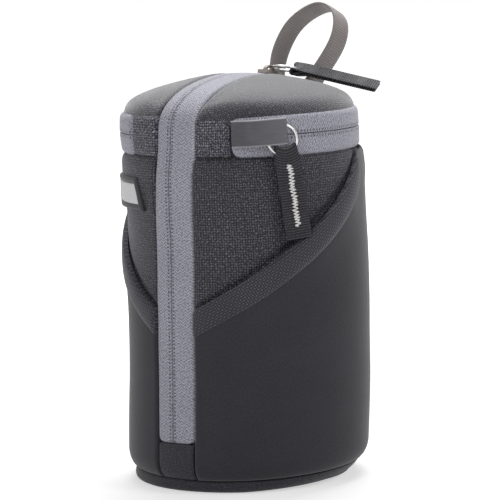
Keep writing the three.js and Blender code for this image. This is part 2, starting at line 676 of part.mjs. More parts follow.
function makeGrabLoop(lid) {
  const along = around(1, LOOP_HEADING, 0);
  const back = new THREE.Vector3(-along.y, along.x, 0);
  const rise = new THREE.Vector3(0, 0, Math.cos(degToRad(LOOP_LEAN_BACK)));
  rise.addScaledVector(back, Math.sin(degToRad(LOOP_LEAN_BACK)));
  const across = new THREE.Vector3().crossVectors(along, rise);
  const domeHeight = (x, y) => domeCentre + Math.sqrt(domeRadius ** 2 - x ** 2 - y ** 2);
  const foot = new THREE.Vector3(LOOP_FOOT_X, loopFootY, domeHeight(LOOP_FOOT_X, loopFootY));
  const at = (side, height) => foot.clone().addScaledVector(along, side).addScaledVector(rise, height);
  const strapLine = new THREE.CatmullRomCurve3([
    at(-LOOP_FOOT_LEFT, 0),
    at(-LOOP_BULGE_LEFT, LOOP_BULGE_LEFT_HEIGHT),
    at(-LOOP_SHOULDER_LEFT, LOOP_SHOULDER_LEFT_HEIGHT),
    at(LOOP_CREST, LOOP_HEIGHT),
    at(LOOP_SHOULDER_RIGHT, LOOP_SHOULDER_RIGHT_HEIGHT),
    at(LOOP_BULGE_RIGHT, LOOP_BULGE_RIGHT_HEIGHT),
    at(LOOP_FOOT_RIGHT, 0),
  ]);
  const strap = bent(2, LOOP_STEPS, (u, v, w) => {
    const point = strapLine.getPointAt(v);
    const outward = new THREE.Vector3().crossVectors(across, strapLine.getTangentAt(v)).normalize();
    point.addScaledVector(across, (u - 0.5) * LOOP_STRAP_WIDTH);
    point.addScaledVector(outward, (w - 0.5) * LOOP_STRAP);
    if (v === 0 || v === 1) point.z = domeHeight(point.x, point.y) + GAP;
    return point;
  });
  add(lid, "grab_loop", strap, fabric(0x77716d));
}

makeBase();
makeFoot();
makeFixedWall();
makeFixedZips();
makeBeltLoop();
makeLeftFlap();
const lid = makeLid();
makeGrabLoop(lid);
makeGarageTab();
makeTopSlider();
makeSideSlider();

export default pouch;
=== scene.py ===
# %% [markdown]
# # A padded lens pouch, dressed piece by piece
# The pouch is a soft tube with a domed lid, two long zips and two stretch pockets wrapped round its wall.
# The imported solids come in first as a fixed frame, and every cloth piece is then laid over the solid that it
# stands for. Blender's objects are in metres. The formulas are in millimetres, as cloth is measured.

# %% Load the frame
import json
import math

import bpy
import numpy as np
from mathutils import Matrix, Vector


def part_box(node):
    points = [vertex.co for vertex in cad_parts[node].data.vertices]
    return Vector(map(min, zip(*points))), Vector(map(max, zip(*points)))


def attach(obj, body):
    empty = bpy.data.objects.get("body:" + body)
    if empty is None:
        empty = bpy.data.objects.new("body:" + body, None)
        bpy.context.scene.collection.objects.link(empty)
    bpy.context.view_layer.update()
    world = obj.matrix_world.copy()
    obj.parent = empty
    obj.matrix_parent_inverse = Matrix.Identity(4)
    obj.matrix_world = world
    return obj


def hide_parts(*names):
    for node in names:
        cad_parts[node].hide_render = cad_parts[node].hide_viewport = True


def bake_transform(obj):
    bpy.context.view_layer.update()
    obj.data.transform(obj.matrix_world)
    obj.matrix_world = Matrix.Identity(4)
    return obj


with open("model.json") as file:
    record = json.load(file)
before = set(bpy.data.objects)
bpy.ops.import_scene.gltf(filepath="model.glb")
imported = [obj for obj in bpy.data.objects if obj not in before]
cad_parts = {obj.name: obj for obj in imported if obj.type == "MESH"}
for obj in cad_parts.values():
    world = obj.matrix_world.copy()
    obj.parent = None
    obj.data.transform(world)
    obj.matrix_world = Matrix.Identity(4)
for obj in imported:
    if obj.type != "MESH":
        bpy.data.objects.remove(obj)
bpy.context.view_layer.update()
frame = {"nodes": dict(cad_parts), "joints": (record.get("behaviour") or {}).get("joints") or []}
MM = 0.001

# %% [markdown]
# ## Small tools for arrays
# The shapes below share a few steps: a direction of length one, two directions turned in their own plane,
# arrays stacked as points, the length along a line, and a rise that starts and ends level.


# %% Array helpers
def unit(vectors):
    """Each vector over its own length."""
    return vectors / np.linalg.norm(vectors, axis=-1, keepdims=True)


def turn_pair(first, second, angle):
    """Two square directions turned in their plane: first * cos - second * sin, second * cos + first * sin."""
    cos, sin = math.cos(angle), math.sin(angle)
    return cos * first - sin * second, cos * second + sin * first


def stacked(*parts):
    """Arrays brought to one shape and stacked along a new last axis, such as x, y and z into points."""
    return np.stack(np.broadcast_arrays(*parts), -1)


def run_along(line):
    """The length along a line of points: nought, then the running sum of its steps."""
    return np.concatenate([[0], np.cumsum(np.linalg.norm(np.diff(line, axis=0), axis=1))])


def smooth_step(share):
    """A rise from 0 to 1 that starts and ends level: s ** 2 * (3 - 2 s)."""
    return share ** 2 * (3 - 2 * share)


# %% [markdown]
# ## The camera
# The photograph looks at the pouch from the front right and a little from above, through a long lens. The
# eye's place comes from the seams: each is a level ring on a round wall, so the curve it draws gives the
# eye's height. A hand-held picture is seldom quite level, so the camera rolls by less than two degrees.

# %% Camera
VIEW_ANGLE = math.radians(35)
EYE_DISTANCE, EYE_HEIGHT = 1235.5, 243.9
LOOK_RIGHT, LOOK_HEIGHT = 2.05, 98.3
ROLL = -0.031
FOCAL_PIXELS, IMAGE_PIXELS, SENSOR_WIDTH = 2848.4, 500, 36.0
CLIP_END = 50

picture_right = np.array([math.cos(VIEW_ANGLE), math.sin(VIEW_ANGLE), 0.0])
picture_deep = np.array([-math.sin(VIEW_ANGLE), math.cos(VIEW_ANGLE), 0.0])


def put_object(data, axes, place):
    """A camera or lamp whose own x, y and z lie along three directions, at a place in metres."""
    made = bpy.data.objects.new(data.name, data)
    bpy.context.scene.collection.objects.link(made)
    matrix = np.eye(4)
    matrix[:3, :3] = np.stack(axes, 1)
    matrix[:3, 3] = place
    made.matrix_world = matrix.T.tolist()
    return made


eye = -EYE_DISTANCE * picture_deep + [0, 0, EYE_HEIGHT]
look_at = LOOK_RIGHT * picture_right + [0, 0, LOOK_HEIGHT]
forward = unit(look_at - eye)
level = unit(np.cross(forward, [0, 0, 1]))
camera_x, camera_y = turn_pair(level, np.cross(level, forward), -ROLL)

camera_data = bpy.data.cameras.new("photo_camera")
camera_data.sensor_width = SENSOR_WIDTH
camera_data.lens = FOCAL_PIXELS * SENSOR_WIDTH / IMAGE_PIXELS
camera_data.clip_end = CLIP_END
bpy.context.scene.camera = put_object(camera_data, [camera_x, camera_y, -forward], eye * MM)
print("camera lens", round(camera_data.lens, 1), "mm at", np.round(eye).tolist())

# %% [markdown]
# ## Nodes and colours
# A material is a small graph. One function adds a node, sets its properties and joins its inputs, and one
# turns a hex colour as read from a screen into the linear values that a renderer adds up.


# %% Node and colour helpers
def linear(hex_colour):
    """sRGB hex to linear: each channel over 255, then the sRGB curve: ((c + 0.055) / 1.055) ** 2.4."""
    channels = np.array([int(hex_colour[i:i + 2], 16) for i in (0, 2, 4)]) / 255
    curve = np.where(channels <= 0.04045, channels / 12.92, ((channels + 0.055) / 1.055) ** 2.4)
    return (*curve.tolist(), 1.0)


def node(tree, kind, inputs=None, **settings):
    """Adds one node. Settings are its properties; inputs are plain values or another node's output socket."""
    made = tree.nodes.new("ShaderNode" + kind)
    for key, value in settings.items():
        setattr(made, key, value)
    for key, value in (inputs or {}).items():
        if isinstance(value, bpy.types.NodeSocket):
            tree.links.new(value, made.inputs[key])
        else:
            made.inputs[key].default_value = value
    return made


def new_finish(name):
    """An empty material with its output: the tree to fill, and the output to join."""
    finish = bpy.data.materials.new(name)
    finish.use_nodes = True
    finish.node_tree.nodes.clear()
    return finish, finish.node_tree, finish.node_tree.nodes.new("ShaderNodeOutputMaterial")


# %% [markdown]
# ## Floor and light
# The pouch stands on a white sweep under soft boxes: a large one overhead and behind, a wide one at the left
# front that fills, and a small one at the right whose light draws the shadows. The floor is white by its own
# colour and by a glow that only the camera and reflections see. The glow lifts the background to white
# without adding light to the cloth, and the floor keeps the shadow.

# %% Floor and world
FLOOR_RADIUS, FLOOR_DROP, FLOOR_SIDES = 6.0, 0.0003, 64
GLOW_NEAR, GLOW_FAR, GLOW_FROM, GLOW_TO = 0.55, 1.0, 0.18, 0.6
WORLD_LEVEL = 0.2


def seen_ray(tree):
    """1 for a ray from the camera, off gloss or through glass, and 0 for a ray that only brings light."""
    path = node(tree, "LightPath")
    seen = node(tree, "Math", {0: path.outputs["Is Camera Ray"], 1: path.outputs["Is Glossy Ray"]},
                operation="MAXIMUM")
    seen = node(tree, "Math", {0: seen.outputs[0], 1: path.outputs["Is Transmission Ray"]},
                operation="MAXIMUM")
    return seen.outputs[0]


stage_finish, tree, output = new_finish("white_paper_sweep")
spot = node(tree, "TexCoord")
away = node(tree, "VectorMath", {0: spot.outputs["Object"]}, operation="LENGTH")
ramp = node(tree, "MapRange", {"Value": away.outputs["Value"], "From Min": GLOW_FROM, "From Max": GLOW_TO,
                               "To Min": GLOW_NEAR, "To Max": GLOW_FAR}, interpolation_type="SMOOTHSTEP")
glow = node(tree, "Math", {0: seen_ray(tree), 1: ramp.outputs[0]}, operation="MULTIPLY")
paper = node(tree, "BsdfDiffuse", {"Color": linear("dcdcdc")})
lit = node(tree, "Emission", {"Color": linear("ffffff"), "Strength": glow.outputs[0]})
both = node(tree, "AddShader", {0: paper.outputs[0], 1: lit.outputs[0]})
tree.links.new(both.outputs[0], output.inputs["Surface"])

turns = np.linspace(0, 2 * np.pi, FLOOR_SIDES, endpoint=False)
floor_rim = stacked(FLOOR_RADIUS * np.cos(turns), FLOOR_RADIUS * np.sin(turns), -FLOOR_DROP)
floor_mesh = bpy.data.meshes.new("floor")
floor_mesh.from_pydata(floor_rim.tolist(), [], [list(range(FLOOR_SIDES))])
floor_mesh.materials.append(stage_finish)
floor = bpy.data.objects.new("floor", floor_mesh)
bpy.context.scene.collection.objects.link(floor)

world = bpy.data.worlds.new("soft_room")
bpy.context.scene.world = world
world.use_nodes = True
tree = world.node_tree
tree.nodes.clear()
room = node(tree, "Background", {"Color": linear("f4f5fa"), "Strength": WORLD_LEVEL})
white = node(tree, "Background", {"Color": linear("ffffff"), "Strength": 1.0})
mixed = node(tree, "MixShader", {0: seen_ray(tree), 1: room.outputs[0], 2: white.outputs[0]})
output = tree.nodes.new("ShaderNodeOutputWorld")
tree.links.new(mixed.outputs[0], output.inputs["Surface"])
print("floor of", FLOOR_RADIUS, "m and a world of level", WORLD_LEVEL)

# %% Lamps
LAMP_AIM = np.array([0, 0, 0.1])
LAMP_LEVEL = np.array([0.0, 1.0, 0.02])


def soft_box(name, place, size, power):
    """A square lamp at a place, turned to face the middle of the pouch."""
    lamp = bpy.data.lights.new(name, "AREA")
    lamp.size = size
    lamp.energy = power
    away = unit(place - LAMP_AIM)
    across = unit(np.cross(LAMP_LEVEL, away))
    put_object(lamp, [across, np.cross(away, across), away], place)


def beside_view(right, towards_eye, height):
    """A place given as the picture shows it: to the right, towards the eye, and up, in metres."""
    return right * picture_right - towards_eye * picture_deep + [0, 0, height]


soft_box("overhead_box", beside_view(0.1, -0.5, 1.1), size=0.8, power=11.2)
soft_box("front_box", beside_view(-0.5, 1.0, 0.5), size=0.9, power=3.2)
soft_box("right_box", beside_view(0.9, 0.6, 0.75), size=0.36, power=3.1)
bpy.context.scene.view_settings.view_transform = "Standard"
print("three soft boxes")

# %% [markdown]
# ## Cloth finishes
# The wall is ballistic nylon: thick threads in a plain weave, each crown painted lighter as a point of
# painted highlight. The pockets are a fine stretch knit, the zip tapes a herringbone twill, and the bindings
# and pulls are ribbed webbing. Every pattern reads the piece's own UV map, which is in millimetres along and
# across the cloth, so a thread spacing is written as it is. Threads finer than two pixels are drawn coarser,
# so that they show.

# %% Cloth base
MOTTLE_SCALE = 55.0  # to a metre, so a patch is about 18 mm
CLOTH_BUMP, CLOTH_SPECULAR, SHEEN_ROUGHNESS = 0.7, 0.3, 0.45
WAVE_REPEAT = 2 * math.pi / 20  # of the wave node, at a scale of 1


def bands(tree, vector, pitch, direction, wander=0.0):
    """Bands across a direction, one each pitch in mm: the node repeats every WAVE_REPEAT / scale."""
    inputs = {"Vector": vector, "Scale": WAVE_REPEAT / pitch, "Distortion": wander,
              "Detail": 1.0, "Detail Scale": 5.0}
    return node(tree, "TexWave", inputs, wave_type="BANDS", bands_direction=direction, wave_profile="SIN")


def weave(tree, vector, pitch, wander):
    """A plain weave: the product of bands along and across, each shifted to swing about nought, gives a
    chequer that is plus where the warp lies on top and minus where the weft does. Its size is the crown."""
    swing = []
    for direction in "XY":
        band = bands(tree, vector, 2 * pitch, direction, wander)
        swing.append(node(tree, "Math", {0: band.outputs["Fac"], 1: 2.0, 2: -1.0}, operation="MULTIPLY_ADD"))
    chequer = node(tree, "Math", {0: swing[0].outputs[0], 1: swing[1].outputs[0]}, operation="MULTIPLY")
    crown = node(tree, "Math", {0: chequer.outputs[0]}, operation="ABSOLUTE")
    return chequer.outputs[0], crown.outputs[0]


def cloth_finish(name, low, high, height, depth, sheen, roughness, fade=0.12):
    """A cloth shader from a pattern: height from 0 to 1 mixes a low and a high colour and lifts the surface
    by depth in mm, with a slow mottle that fades the colour as handling does. Where the pattern is a weave or
    rib, the low colour in its hollows is partly painted shade and the high colour on its raised threads partly
    painted highlight. height is a function of the tree and its UV socket."""
    finish, tree, output = new_finish(name)
    place = node(tree, "TexCoord")
    lift = height(tree, place.outputs["UV"])
    mottle = node(tree, "TexNoise", {"Vector": place.outputs["Object"], "Scale": MOTTLE_SCALE, "Detail": 3.0})
    level = node(tree, "MapRange", {"Value": mottle.outputs["Fac"], "From Min": 0.3, "From Max": 0.7,
                                    "To Min": 1 - fade, "To Max": 1 + fade})
    # Partly painted light: the height picks the colour, darker in hollows as painted shade, lighter on crowns
    # as painted highlight.
    colour = node(tree, "Mix", {0: lift, 6: linear(low), 7: linear(high)}, data_type="RGBA")
    tone = node(tree, "HueSaturation", {"Color": colour.outputs[2], "Value": level.outputs[0]})
    bump = node(tree, "Bump", {"Height": lift, "Strength": CLOTH_BUMP, "Distance": depth * MM})
    shader = node(tree, "BsdfPrincipled", {
        "Base Color": tone.outputs[0], "Roughness": roughness, "Normal": bump.outputs[0],
        "Specular IOR Level": CLOTH_SPECULAR, "Sheen Weight": sheen, "Sheen Roughness": SHEEN_ROUGHNESS})
    tree.links.new(shader.outputs[0], output.inputs["Surface"])
    return finish


# %% Woven and knitted finishes
BINDING_PITCH, BINDING_SLANT = 1.0, math.radians(-32)


def ballistic_height(pitch, wander):
    """Crowns a pitch apart, each a small bright point of painted highlight, the warp ones a little higher,
    broken up by noise. Gives the function of a tree that cloth_finish asks for."""
    def height(tree, uv):
        chequer, crown = weave(tree, uv, pitch, wander)
        point = node(tree, "MapRange", {"Value": crown, "From Min": 0.25, "From Max": 0.95})
        warp = node(tree, "MapRange", {"Value": chequer, "From Min": -0.4, "From Max": 0.4,
                                       "To Min": 0.7, "To Max": 1.0})
        lifted = node(tree, "Math", {0: point.outputs[0], 1: warp.outputs[0]}, operation="MULTIPLY")
        grain = node(tree, "TexNoise", {"Vector": uv, "Scale": 1.1, "Detail": 1.0})
        uneven = node(tree, "MapRange", {"Value": grain.outputs["Fac"], "From Min": 0.32, "From Max": 0.68,
                                         "To Min": 0.1, "To Max": 1.35})
        broken = node(tree, "Math", {0: lifted.outputs[0], 1: uneven.outputs[0]}, operation="MULTIPLY")
        return broken.outputs[0]
    return height


def knit_height(tree, uv):
    """A fine knit, too fine to show its stitches: small grain, drawn out a little along the wales."""
    drawn = node(tree, "Mapping", {"Vector": uv, "Scale": (1.0, 0.6, 1.0)})
    grain = node(tree, "TexNoise", {"Vector": drawn.outputs[0], "Scale": 1.5, "Detail": 3.0})
    spread = node(tree, "MapRange", {"Value": grain.outputs["Fac"], "From Min": 0.3, "From Max": 0.7})
    return spread.outputs[0]


def binding_height(tree, uv):
    """Folded ribbed tape: a weave BINDING_PITCH apart, turned to lie along the slant of the mouth."""
    slanted = node(tree, "Mapping", {"Vector": uv, "Rotation": (0, 0, BINDING_SLANT)})
    chequer, crown = weave(tree, slanted.outputs[0], BINDING_PITCH, 0.3)
    warp = node(tree, "MapRange", {"Value": chequer, "From Min": -0.5, "From Max": 0.5,
                                   "To Min": 0.55, "To Max": 1.0})
    return node(tree, "Math", {0: crown, 1: warp.outputs[0]}, operation="MULTIPLY").outputs[0]


ballistic = cloth_finish("ballistic_nylon_weave", "17161b", "82818e", ballistic_height(1.05, 2.2),
                         depth=0.25, sheen=0.2, roughness=0.6)
# Painted light: the hinge band is the wall's nylon, given lighter threads for the light its puffy face
# catches.
band_weave_painted_lighter = cloth_finish("ballistic_nylon_band_painted_lighter", "28272e", "bab9c7", ballistic_height(1.1, 2.6),
                          depth=0.3, sheen=0.2, roughness=0.6)
fine_weave = cloth_finish("fine_nylon_weave", "201f25", "54535d", ballistic_height(0.8, 1.8),
                          depth=0.12, sheen=0.25, roughness=0.65)
lid_weave = cloth_finish("ballistic_nylon_lid", "242329", "7c7b86", ballistic_height(0.95, 1.8),
                         depth=0.25, sheen=1.0, roughness=0.6)
stretch_knit = cloth_finish("stretch_polyester_knit", "27262b", "333238", knit_height,
                            depth=0.05, sheen=0.35, roughness=0.75)
ribbed_binding = cloth_finish("ribbed_nylon_binding", "131217", "5e5d68", binding_height,
                              depth=0.25, sheen=0.3, roughness=0.6)
print("woven finishes:", ballistic.name, stretch_knit.name, ribbed_binding.name)

# %% [markdown]
# ## Zip tape, webbing and lining
# A reverse coil zip shows only its tape: a herringbone twill whose inner edges meet in a thin dark line, with
# the rows of sewing that hold the coil showing as short ticks on both sides. In the tape's UV map, across is
# measured from that line, so the ticks can be placed by their distance from it.

# %% Zip tape finish
TWILL_HALF, TWILL_PITCH = 1.2, 1.25
TICK_PITCH, TICK_FROM, TICK_TO, TICK_DARK = 1.6, 0.8, 1.7, 0.85


def tape_height(tree, uv):
    """Herringbone: a zigzag of across, TWILL_HALF each way, added to along gives slanted ribs TWILL_PITCH
    apart. Ticks TICK_PITCH apart, from TICK_FROM to TICK_TO off the line, are pressed in."""
    parts = node(tree, "SeparateXYZ", {0: uv})
    slope = node(tree, "Math", {0: parts.outputs[0], 1: TWILL_HALF}, operation="PINGPONG")
    slant = node(tree, "Math", {0: slope.outputs[0], 1: parts.outputs[1]}, operation="ADD")
    line = node(tree, "CombineXYZ", {0: slant.outputs[0]})
    rib = bands(tree, line.outputs[0], TWILL_PITCH, "X")
    away = node(tree, "Math", {0: parts.outputs[0]}, operation="ABSOLUTE")
    inside = node(tree, "Math", {0: away.outputs[0], 1: TICK_FROM}, operation="GREATER_THAN")
    within = node(tree, "Math", {0: away.outputs[0], 1: TICK_TO}, operation="LESS_THAN")
    row = node(tree, "Math", {0: inside.outputs[0], 1: within.outputs[0]}, operation="MULTIPLY")
    tick = bands(tree, uv, TICK_PITCH, "Y")
    dark = node(tree, "MapRange", {"Value": tick.outputs["Fac"], "From Min": 0.6, "From Max": 0.85})
    pressed = node(tree, "Math", {0: row.outputs[0], 1: dark.outputs[0]}, operation="MULTIPLY")
    ribbed = node(tree, "MapRange", {"Value": rib.outputs["Fac"], "To Min": 0.4, "To Max": 1.0})
    speck = node(tree, "TexNoise", {"Vector": uv, "Scale": 1.2, "Detail": 1.0})
    spotted = node(tree, "MapRange", {"Value": speck.outputs["Fac"], "From Min": 0.3, "From Max": 0.7,
                                      "To Min": 0.5, "To Max": 1.4})
    grey = node(tree, "Math", {0: ribbed.outputs[0], 1: spotted.outputs[0]}, operation="MULTIPLY")
    low = node(tree, "Math", {0: pressed.outputs[0], 1: -TICK_DARK, 2: grey.outputs[0]},
               operation="MULTIPLY_ADD")
    return low.outputs[0]


zip_tape = cloth_finish("woven_zip_tape", "4c4b52", "cccbd8", tape_height,
                        depth=0.12, sheen=0.3, roughness=0.65, fade=0.05)

# %% Webbing and lining finishes
WEBBING_PITCH, LINING_PITCH = 1.1, 1.0


def webbing_height(tree, uv):
    """Webbing: sharp ribs across its length, WEBBING_PITCH apart, broken up by a weak lengthwise grain."""
    rib = bands(tree, uv, WEBBING_PITCH, "Y", 0.8)
    sharp = node(tree, "MapRange", {"Value": rib.outputs["Fac"], "From Min": 0.35, "From Max": 0.85})
    grain = node(tree, "TexNoise", {"Vector": uv, "Scale": 1.2, "Detail": 1.0})
    uneven = node(tree, "MapRange", {"Value": grain.outputs["Fac"], "From Min": 0.3, "From Max": 0.7,
                                     "To Min": 0.45, "To Max": 1.2})
    return node(tree, "Math", {0: sharp.outputs[0], 1: uneven.outputs[0]}, operation="MULTIPLY").outputs[0]


def lining_height(tree, uv):
    """Soft tricot lining: the crowns of a fine weave, drawn LINING_PITCH apart so that it shows."""
    return weave(tree, uv, LINING_PITCH, 0.5)[1]


black_webbing = cloth_finish("black_nylon_webbing", "070609", "4e4c54", webbing_height,
                             depth=0.35, sheen=0.25, roughness=0.6)
taupe_webbing = cloth_finish("taupe_nylon_webbing", "8e8785", "a69f9b", webbing_height,
                             depth=0.06, sheen=0.25, roughness=0.65)
tricot = cloth_finish("brushed_tricot_lining", "54535b", "66656d", lining_height,
                      depth=0.08, sheen=0.5, roughness=0.85)
print("tape, webbing and lining finishes:", zip_tape.name, black_webbing.name, tricot.name)

# %% [markdown]
# ## Hard finishes
# The tab is pressed faux leather with a fine pebble, the rings and sliders are nickel-plated zinc with a
# faint grain, the coils are dyed nylon filament, and the label is a moulded rubber frame round a bare pale
# field.

# %% Nickel, nylon and rubber
CLOUD_SCALE = 90.0  # to a metre, so a patch is about 11 mm
GRAIN_BUMP = 0.5


def grained_finish(name, low, high, size, depth, inputs):
    """A pebbled solid: cells of a size in mm lift the surface by depth in mm, and noise mixes two colours."""
    finish, tree, output = new_finish(name)
    place = node(tree, "TexCoord")
    cells = node(tree, "TexVoronoi", {"Vector": place.outputs["Object"], "Scale": 1 / (size * MM)})
    cloud = node(tree, "TexNoise", {"Vector": place.outputs["Object"], "Scale": CLOUD_SCALE, "Detail": 4.0})
    colour = node(tree, "Mix", {0: cloud.outputs["Fac"], 6: linear(low), 7: linear(high)}, data_type="RGBA")
    bump = node(tree, "Bump", {"Height": cells.outputs["Distance"], "Strength": GRAIN_BUMP,
                               "Distance": depth * MM})
    shader = node(tree, "BsdfPrincipled", {"Base Color": colour.outputs[2], "Normal": bump.outputs[0],
                                           **inputs})
    tree.links.new(shader.outputs[0], output.inputs["Surface"])
    return finish


nickel = grained_finish("bright_nickel_plate", "b9b8b8", "cfcecd", size=1.5, depth=0.01,
                        inputs={"Metallic": 1.0, "Roughness": 0.2})
satin_nickel = grained_finish("satin_nickel_plate", "7d7671", "948d87", size=1.5, depth=0.01,
                              inputs={"Metallic": 1.0, "Roughness": 0.3})
coil_nylon = grained_finish("dyed_nylon_coil", "1d1c22", "2a2930", size=0.8, depth=0.01,
                            inputs={"Roughness": 0.4})
rubber = grained_finish("moulded_rubber_frame", "232226", "2e2d31", size=0.5, depth=0.02,
                        inputs={"Roughness": 0.55})
pale_field = grained_finish("pale_woven_label", "f0f0f1", "fafafa", size=0.6, depth=0.03,
                            inputs={"Roughness": 0.7, "Sheen Weight": 0.1})
white_thread = grained_finish("white_bonded_thread", "f0ebe8", "ffffff", size=0.4, depth=0.04,
                              inputs={"Roughness": 0.6})
board_plastic = grained_finish("grey_base_board", "2c2c2e", "38383a", size=1.2, depth=0.03,
                               inputs={"Roughness": 0.6})
print("hard finishes:", nickel.name, coil_nylon.name, rubber.name)

# %% [markdown]
# ## Faux leather
# The tab's leather is painted lighter towards its free end: a painted gradient for the light that falls on it
# from the right. It has faint streaks along its length, and a painted highlight along both cut edges. Its UV
# map is in millimetres along and across the tab.

# %% Leather
TAB_LENGTH, TAB_TALL = 23.9, 11.2
PEBBLE, PEBBLE_DEPTH = 0.7, 0.05
EDGE_HIGHLIGHT_FROM, EDGE_HIGHLIGHT_TO = TAB_TALL / 2 - 0.7, TAB_TALL / 2 - 0.2

leather, tree, output = new_finish("pressed_faux_leather")
place = node(tree, "TexCoord")
parts = node(tree, "SeparateXYZ", {0: place.outputs["UV"]})
# Painted light: the leather grows lighter along the tab towards its free end, for the light from the right.
painted_light_towards_free_end = node(tree, "MapRange", {"Value": parts.outputs[0], "From Min": 0.0, "From Max": TAB_LENGTH,
                               "To Min": 0.1, "To Max": 0.75})
streaked = node(tree, "Mapping", {"Vector": place.outputs["UV"], "Scale": (0.15, 0.8, 1.0)})
streak = node(tree, "TexNoise", {"Vector": streaked.outputs[0], "Scale": 1.0, "Detail": 3.0})
spread = node(tree, "Math", {0: streak.outputs["Fac"], 1: 0.5, 2: -0.25}, operation="MULTIPLY_ADD")
# Painted highlight: a pale line along both long edges of the tab, where light catches the cut edge.
from_middle = node(tree, "Math", {0: parts.outputs[1], 1: TAB_TALL / 2}, operation="SUBTRACT")
from_middle = node(tree, "Math", {0: from_middle.outputs[0]}, operation="ABSOLUTE")
painted_edge_highlight = node(tree, "MapRange", {"Value": from_middle.outputs[0], "From Min": EDGE_HIGHLIGHT_FROM, "From Max": EDGE_HIGHLIGHT_TO})
tone = node(tree, "Math", {0: painted_light_towards_free_end.outputs[0], 1: spread.outputs[0]}, operation="ADD", use_clamp=True)
colour = node(tree, "Mix", {0: tone.outputs[0], 6: linear("47464b"), 7: linear("757479")}, data_type="RGBA")
colour = node(tree, "Mix", {0: painted_edge_highlight.outputs[0], 6: colour.outputs[2], 7: linear("b4b3b8")},
              data_type="RGBA")
pebble = node(tree, "TexVoronoi", {"Vector": place.outputs["Object"], "Scale": 1 / (PEBBLE * MM)})
bump = node(tree, "Bump", {"Height": pebble.outputs["Distance"], "Strength": GRAIN_BUMP,
                           "Distance": PEBBLE_DEPTH * MM})
shader = node(tree, "BsdfPrincipled", {"Base Color": colour.outputs[2], "Roughness": 0.5,
                                       "Specular IOR Level": 0.4, "Normal": bump.outputs[0]})
tree.links.new(shader.outputs[0], output.inputs["Surface"])
print("leather finish:", leather.name)

# %% [markdown]
# ## From arrays to meshes
# Each cloth piece is a blank with an outer and an inner grid of points. Two grids of the same size close into
# a slab with a wall along each edge. A piece is checked by its signed volume, which is negative when it is
# inside out, and its edges over SHARP_ANGLE stay sharp.

# %% Mesh helpers
MERGE_REACH = 1e-4


def grid_faces(rows, columns, start=0):
    """Corner numbers of every four-cornered face of a grid of points stored row by row."""
    corner = start + np.arange(rows * columns).reshape(rows, columns)
    faces = np.stack([corner[:-1, :-1], corner[:-1, 1:], corner[1:, 1:], corner[1:, :-1]], -1)
    return faces.reshape(-1, 4)


def slab(outer, inner, uv):
    """Closes two grids: outer faces, inner faces turned over, and a wall round the rim that joins them."""
    rows, columns = outer.shape[:2]
    count = rows * columns
    corner = np.arange(count).reshape(rows, columns)
    rim = np.concatenate([corner[0], corner[1:, -1], corner[-1, -2::-1], corner[-2:0:-1, 0]])
    ahead = np.roll(rim, -1)
    wall = np.stack([ahead, rim, rim + count, ahead + count], -1)
    back = grid_faces(rows, columns, count)[:, ::-1]
    points = np.concatenate([outer.reshape(-1, 3), inner.reshape(-1, 3)])
    flat = uv.reshape(-1, 2)
    return points, np.concatenate([grid_faces(rows, columns), back, wall]), np.concatenate([flat, flat])


def tube(line, ahead, across, radius, sides=6):
    """A round tube along a line: at each point, a ring in the plane of across and ahead x across."""
    ahead = unit(ahead)
    first = unit(across - (across * ahead).sum(1, keepdims=True) * ahead)
    second = np.cross(ahead, first)
    turn = np.linspace(0, 2 * np.pi, sides, endpoint=False)
    ring = np.cos(turn)[None, :, None] * first[:, None] + np.sin(turn)[None, :, None] * second[:, None]
    points = (line[:, None] + radius * ring).reshape(-1, 3)
    corner = np.arange(len(points)).reshape(-1, sides)
    beside = np.roll(corner, -1, axis=1)
    faces = np.stack([corner[:-1], beside[:-1], beside[1:], corner[1:]], -1).reshape(-1, 4)
    ends = [corner[0, ::-1].tolist(), corner[-1].tolist()]
    uv = stacked(turn[None] * radius, run_along(line)[:, None]).reshape(-1, 2)
    return points, faces, uv, ends


def signed_volume(points, faces):
    """Sum over faces of the volume of the wedge to the origin, each four-cornered face as two triangles."""
    a, b, c, d = (points[faces[:, i]] for i in range(4))
    wedge = (a * np.cross(b, c)).sum(1) + (a * np.cross(c, d)).sum(1)
    return wedge.sum() / 6


def merged(points, faces, uv):
    """Joins points that lie together: rounds to a raster of MERGE_REACH, and numbers each place once."""
    raster = np.round(points / MERGE_REACH).astype(np.int64)
    _, first, place = np.unique(raster, axis=0, return_index=True, return_inverse=True)
    return points[first], place.reshape(-1)[faces], uv[first]


# %% Pieces on the frame
SHARP_ANGLE = math.radians(50)
PIECES = []


def piece(name, blank, finish, body, nodes):
    """Makes the mesh and gives it its finish. When body is a name, hangs the piece on that body of the frame.
    body may instead be the four values of a bend between two bodies: the one before, the one after, and the
    heights in mm where it starts and ends. These values are not used: such a piece is only baked in place."""
    points, faces, uv, *ends = blank
    if signed_volume(points, faces) < 0:
        faces = faces[:, ::-1]
        ends = [[loop[::-1] for loop in ends[0]]] if ends else []
    whole = [list(dict.fromkeys(face)) for face in faces.tolist()]
    whole = [face for face in whole if len(face) > 2] + (ends[0] if ends else [])
    mesh = bpy.data.meshes.new(name)
    mesh.from_pydata((points * MM).tolist(), [], whole)
    corners = np.empty(len(mesh.loops), dtype=np.int32)
    mesh.loops.foreach_get("vertex_index", corners)
    mesh.uv_layers.new(name="cloth_mm").data.foreach_set("uv", uv[corners].astype(np.float32).ravel())
    mesh.polygons.foreach_set("use_smooth", np.ones(len(mesh.polygons), dtype=bool))
    mesh.set_sharp_from_angle(angle=SHARP_ANGLE)
    mesh.materials.append(finish)
    made = bpy.data.objects.new(name, mesh)
    bpy.context.scene.collection.objects.link(made)
    if isinstance(body, str):
        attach(made, body)
    else:
        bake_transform(made)
    if nodes:
        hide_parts(*nodes)
    PIECES.append(made)
    return made


